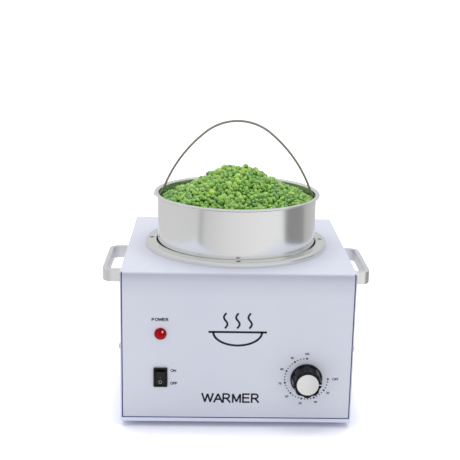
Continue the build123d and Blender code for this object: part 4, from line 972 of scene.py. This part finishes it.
def add_stroke(bm, points, thickness):
    """A flat raised stroke with square ends along a line of (x, z) points on the panel."""
    line = [Vector(p) for p in points]
    closed = (line[0] - line[-1]).length < 1e-7
    if not closed:
        line[0] -= (line[1] - line[0]).normalized() * thickness / 2
        line[-1] += (line[-1] - line[-2]).normalized() * thickness / 2
    rows = []
    for i, point in enumerate(line):
        before = line[i] - line[i - 1] if i else (line[-1] - line[-2] if closed else line[1] - line[0])
        after = line[i + 1] - line[i] if i < len(line) - 1 else (line[1] - line[0] if closed else before)
        before, after = before.normalized(), after.normalized()
        if before.dot(after) > -0.3:
            across = (before + after).normalized()
            widen = 1 / max(0.5, across.dot(after))
            rows.append((point, Vector((-across.y, across.x)) * thickness / 2 * widen))
        else:
            rows.append((point, Vector((-before.y, before.x)) * thickness / 2))
            rows.append((point, Vector((-after.y, after.x)) * thickness / 2))
    corners = ((1, 0), (1, INK_T), (-1, INK_T), (-1, 0))
    sections = [
        [bm.verts.new((*(point + side * across), height)) for side, height in corners]
        for point, across in rows
    ]
    for near, far in zip(sections, sections[1:]):
        for k in range(4):
            bm.faces.new((near[k], near[(k + 1) % 4], far[(k + 1) % 4], far[k]))
    if not closed:
        bm.faces.new(sections[0])
        bm.faces.new(reversed(sections[-1]))
    bmesh.ops.transform(bm, matrix=PANEL, verts=[vert for section in sections for vert in section])


def add_word(bm, word, centre, height, width, thickness, spacing=0.27):
    """A word in plain capitals, fitted to a height and a width; slanted letters sit closer."""
    gaps = [spacing * (0.45 if {a, b} & set("WA") else 1.0) for a, b in zip(word, word[1:])] + [0.0]
    natural = sum(GLYPHS[letter][0] for letter in word) + sum(gaps)
    rise = height - thickness
    stretch = (width - thickness) / natural
    at = centre[0] - (width - thickness) / 2
    for letter, gap in zip(word, gaps):
        advance, strokes = GLYPHS[letter]
        for stroke in strokes:
            add_stroke(bm, [(at + x * stretch, centre[1] + (z - 0.5) * rise) for x, z in stroke], thickness)
        at += (advance + gap) * stretch


def build_printing():
    """Words, dial and a plain warming pictogram, as one thin layer of ink."""
    bm = bmesh.new()
    power_at = (LAMP_CENTRE.x - 0.5 * MM, LAMP_CENTRE.z + 15.9 * MM)
    on_at = (SWITCH_CENTRE.x + 13.8 * MM, SWITCH_CENTRE.z + 7.6 * MM)
    off_at = (SWITCH_CENTRE.x + 14.2 * MM, SWITCH_CENTRE.z - 7.1 * MM)
    add_word(bm, "POWER", power_at, 3.8 * MM, 18.0 * MM, 0.85 * MM, 0.45)
    add_word(bm, "ON", on_at, 3.4 * MM, 6.2 * MM, 0.72 * MM)
    add_word(bm, "OFF", off_at, 3.4 * MM, 7.8 * MM, 0.72 * MM)
    add_word(bm, "WARMER", (-6.4 * MM, BASE_Z + 28.2 * MM), 11.2 * MM, 63.0 * MM, 1.95 * MM, 0.34)

    dial_r = 23.4 * MM
    label_r = 28.9 * MM
    major_step = 33.75
    labels = ["OFF", "30", "40", "50", "60", "70", "80", "90", "100"]
    for i, words in enumerate(labels):
        angle = radians(-major_step * i)
        x, z = KNOB_CENTRE.x + dial_r * cos(angle), KNOB_CENTRE.z + dial_r * sin(angle)
        add_dot(bm, x, z, 1.15 * MM)
        reach = label_r + (2.6 * MM if words == "OFF" else 0)
        place = (KNOB_CENTRE.x + reach * cos(angle), KNOB_CENTRE.z + reach * sin(angle))
        add_text(bm, words, place, (3.0 if words == "OFF" else 2.7) * MM)
        if i == len(labels) - 1:
            break
        for part in (1, 2, 3):
            angle = radians(-major_step * (i + part / 4))
            x, z = KNOB_CENTRE.x + dial_r * cos(angle), KNOB_CENTRE.z + dial_r * sin(angle)
            add_dot(bm, x, z, 0.74 * MM)

    sign_x, sign_z = 0.0, BASE_Z + 104.0 * MM
    bowl_r = 26.0 * MM
    bowl = [(sign_x + x, sign_z + 0.58 * z) for x, z in arc((0, 0), bowl_r, 180, 360, 32)]
    add_stroke(bm, bowl, 2.4 * MM)
    add_stroke(bm, [(sign_x - bowl_r - 4 * MM, sign_z), (sign_x + bowl_r + 4 * MM, sign_z)], 2.4 * MM)
    for offset in (-13.0 * MM, 0.0, 13.0 * MM):
        wave = [
            (sign_x + offset + 1.9 * MM * sin(tau * i / 28), sign_z + (5.0 + 15.5 * i / 28) * MM)
            for i in range(29)
        ]
        add_stroke(bm, wave, 2.2 * MM)
    bmesh.ops.recalc_face_normals(bm, faces=bm.faces)
    show("panel_printing", bm, "housing", INK)


# ---- Stage: camera, light and floor -------------------------------------------------------


def build_camera():
    """Long lens a little over a metre away, looking down at the front."""
    data = bpy.data.cameras.new("camera")
    data.sensor_width = 36.0
    data.lens = 75.1
    camera = bpy.data.objects.new("camera", data)
    place = POT_AXIS + Vector((-33.9, -1087.3, 469.5)) * MM
    turn = (
        Matrix.Rotation(radians(-1.404), 4, "Z")
        @ Matrix.Rotation(radians(90 - 14.405), 4, "X")
        @ Matrix.Rotation(radians(1.116), 4, "Z")
    )
    camera.matrix_world = Matrix.Translation(place) @ turn
    bpy.context.scene.collection.objects.link(camera)
    bpy.context.scene.camera = camera


def build_floor():
    """A wide pale floor that glows a little to stay near white, with a painted contact shadow where the
    housing is close.
    """
    bm = bmesh.new()
    bmesh.ops.create_grid(bm, x_segments=1, y_segments=1, size=30.0)
    mesh = bpy.data.meshes.new("floor")
    bm.to_mesh(mesh)
    bm.free()
    s = Surface("pale_floor", Roughness=0.9, Specular_IOR_Level=0.0)
    # Painted shadow: colour and glow fall off where ambient occlusion finds the housing near.
    closeness = s.tree.nodes.new("ShaderNodeAmbientOcclusion")
    closeness.inputs["Distance"].default_value = 0.045
    openness = closeness.outputs["AO"]
    s.set("Base Color", s.ramp(
        openness, (0.0, (0.56, 0.57, 0.66)), (0.8, (0.74, 0.745, 0.79)), (1.0, (0.90, 0.90, 0.905)),
    ))
    s.set("Emission Color", s.ramp(
        openness, (0.0, (0.15, 0.16, 0.22)), (0.8, (0.62, 0.63, 0.70)), (0.97, grey(1.0)),
    ))
    s.shader.inputs["Emission Strength"].default_value = 0.45
    mesh.materials.append(s.material)
    floor = bpy.data.objects.new("floor", mesh)
    bpy.context.scene.collection.objects.link(floor)
    floor.visible_glossy = False


def build_world():
    """A white studio with a grey wall at the right, which the polished metal reflects."""
    world = bpy.data.worlds.new("studio")
    bpy.context.scene.world = world
    world.use_nodes = True
    tree = world.node_tree
    background = tree.nodes["Background"]
    coordinates = tree.nodes.new("ShaderNodeTexCoord")
    split = tree.nodes.new("ShaderNodeSeparateXYZ")
    tree.links.new(coordinates.outputs["Generated"], split.inputs[0])
    # Azimuth in turns: 0.5 is straight at the camera, more is to the right of it
    minus_y = math_node(tree, "MULTIPLY", split.outputs["Y"], -1.0)
    azimuth = math_node(tree, "ARCTAN2", split.outputs["X"], minus_y)
    turns = math_node(tree, "ADD", math_node(tree, "DIVIDE", azimuth, tau), 0.5)

    def at(angle):
        return 0.5 + angle / 360.0

    walls = ramp(tree, turns, [
        (at(-180), grey(0.80)),
        (at(-118), grey(0.84)),
        (at(-60), grey(0.82)),
        (at(-54), grey(0.55)),
        (at(-48), grey(0.78)),
        (at(-15), grey(0.93)),
        (at(25), grey(1.05)),
        (at(68), grey(1.08)),
        (at(76), grey(0.32)),
        (at(110), grey(0.37)),
        (at(117), grey(0.60)),
        (at(150), grey(0.72)),
        (at(180), grey(0.80)),
    ])
    ceiling = math_node(tree, "MULTIPLY", split.outputs["Z"], 1.6, clamp=True)
    light = mix_colour(tree, ceiling, walls, (0.92, 0.93, 0.95, 1))
    path = tree.nodes.new("ShaderNodeLightPath")
    seen = mix_colour(tree, path.outputs["Is Camera Ray"], light, (1.4, 1.4, 1.4, 1))
    tree.links.new(seen, background.inputs["Color"])
    background.inputs["Strength"].default_value = 0.80


def add_area_light(name, place, target, size, power):
    """A softbox aimed at a point, kept out of the polished metal."""
    data = bpy.data.lights.new(name, "AREA")
    data.shape = "RECTANGLE"
    data.size, data.size_y = size
    data.energy = power
    light = bpy.data.objects.new(name, data)
    light.location = place
    light.rotation_euler = (Vector(target) - Vector(place)).to_track_quat("-Z", "Y").to_euler()
    light.visible_glossy = False
    bpy.context.scene.collection.objects.link(light)


def build_lights():
    """A broad softbox above, and a gentle key from the front left."""
    centre = (0, 0, 0.12)
    add_area_light("overhead", (0.0, 0.25, 1.7), centre, (1.8, 1.4), 26.0)
    add_area_light("front_left", (-1.1, -1.5, 1.2), centre, (1.0, 1.0), 2.5)


build_housing()
build_seams()
paint_inside()
build_pot()
build_wax(build_bail())
build_knob()
build_lamp()
build_switch()
build_printing()
build_camera()
build_floor()
build_world()
build_lights()
bpy.context.scene.view_settings.view_transform = "Standard"
bpy.context.scene.view_settings.look = "None"
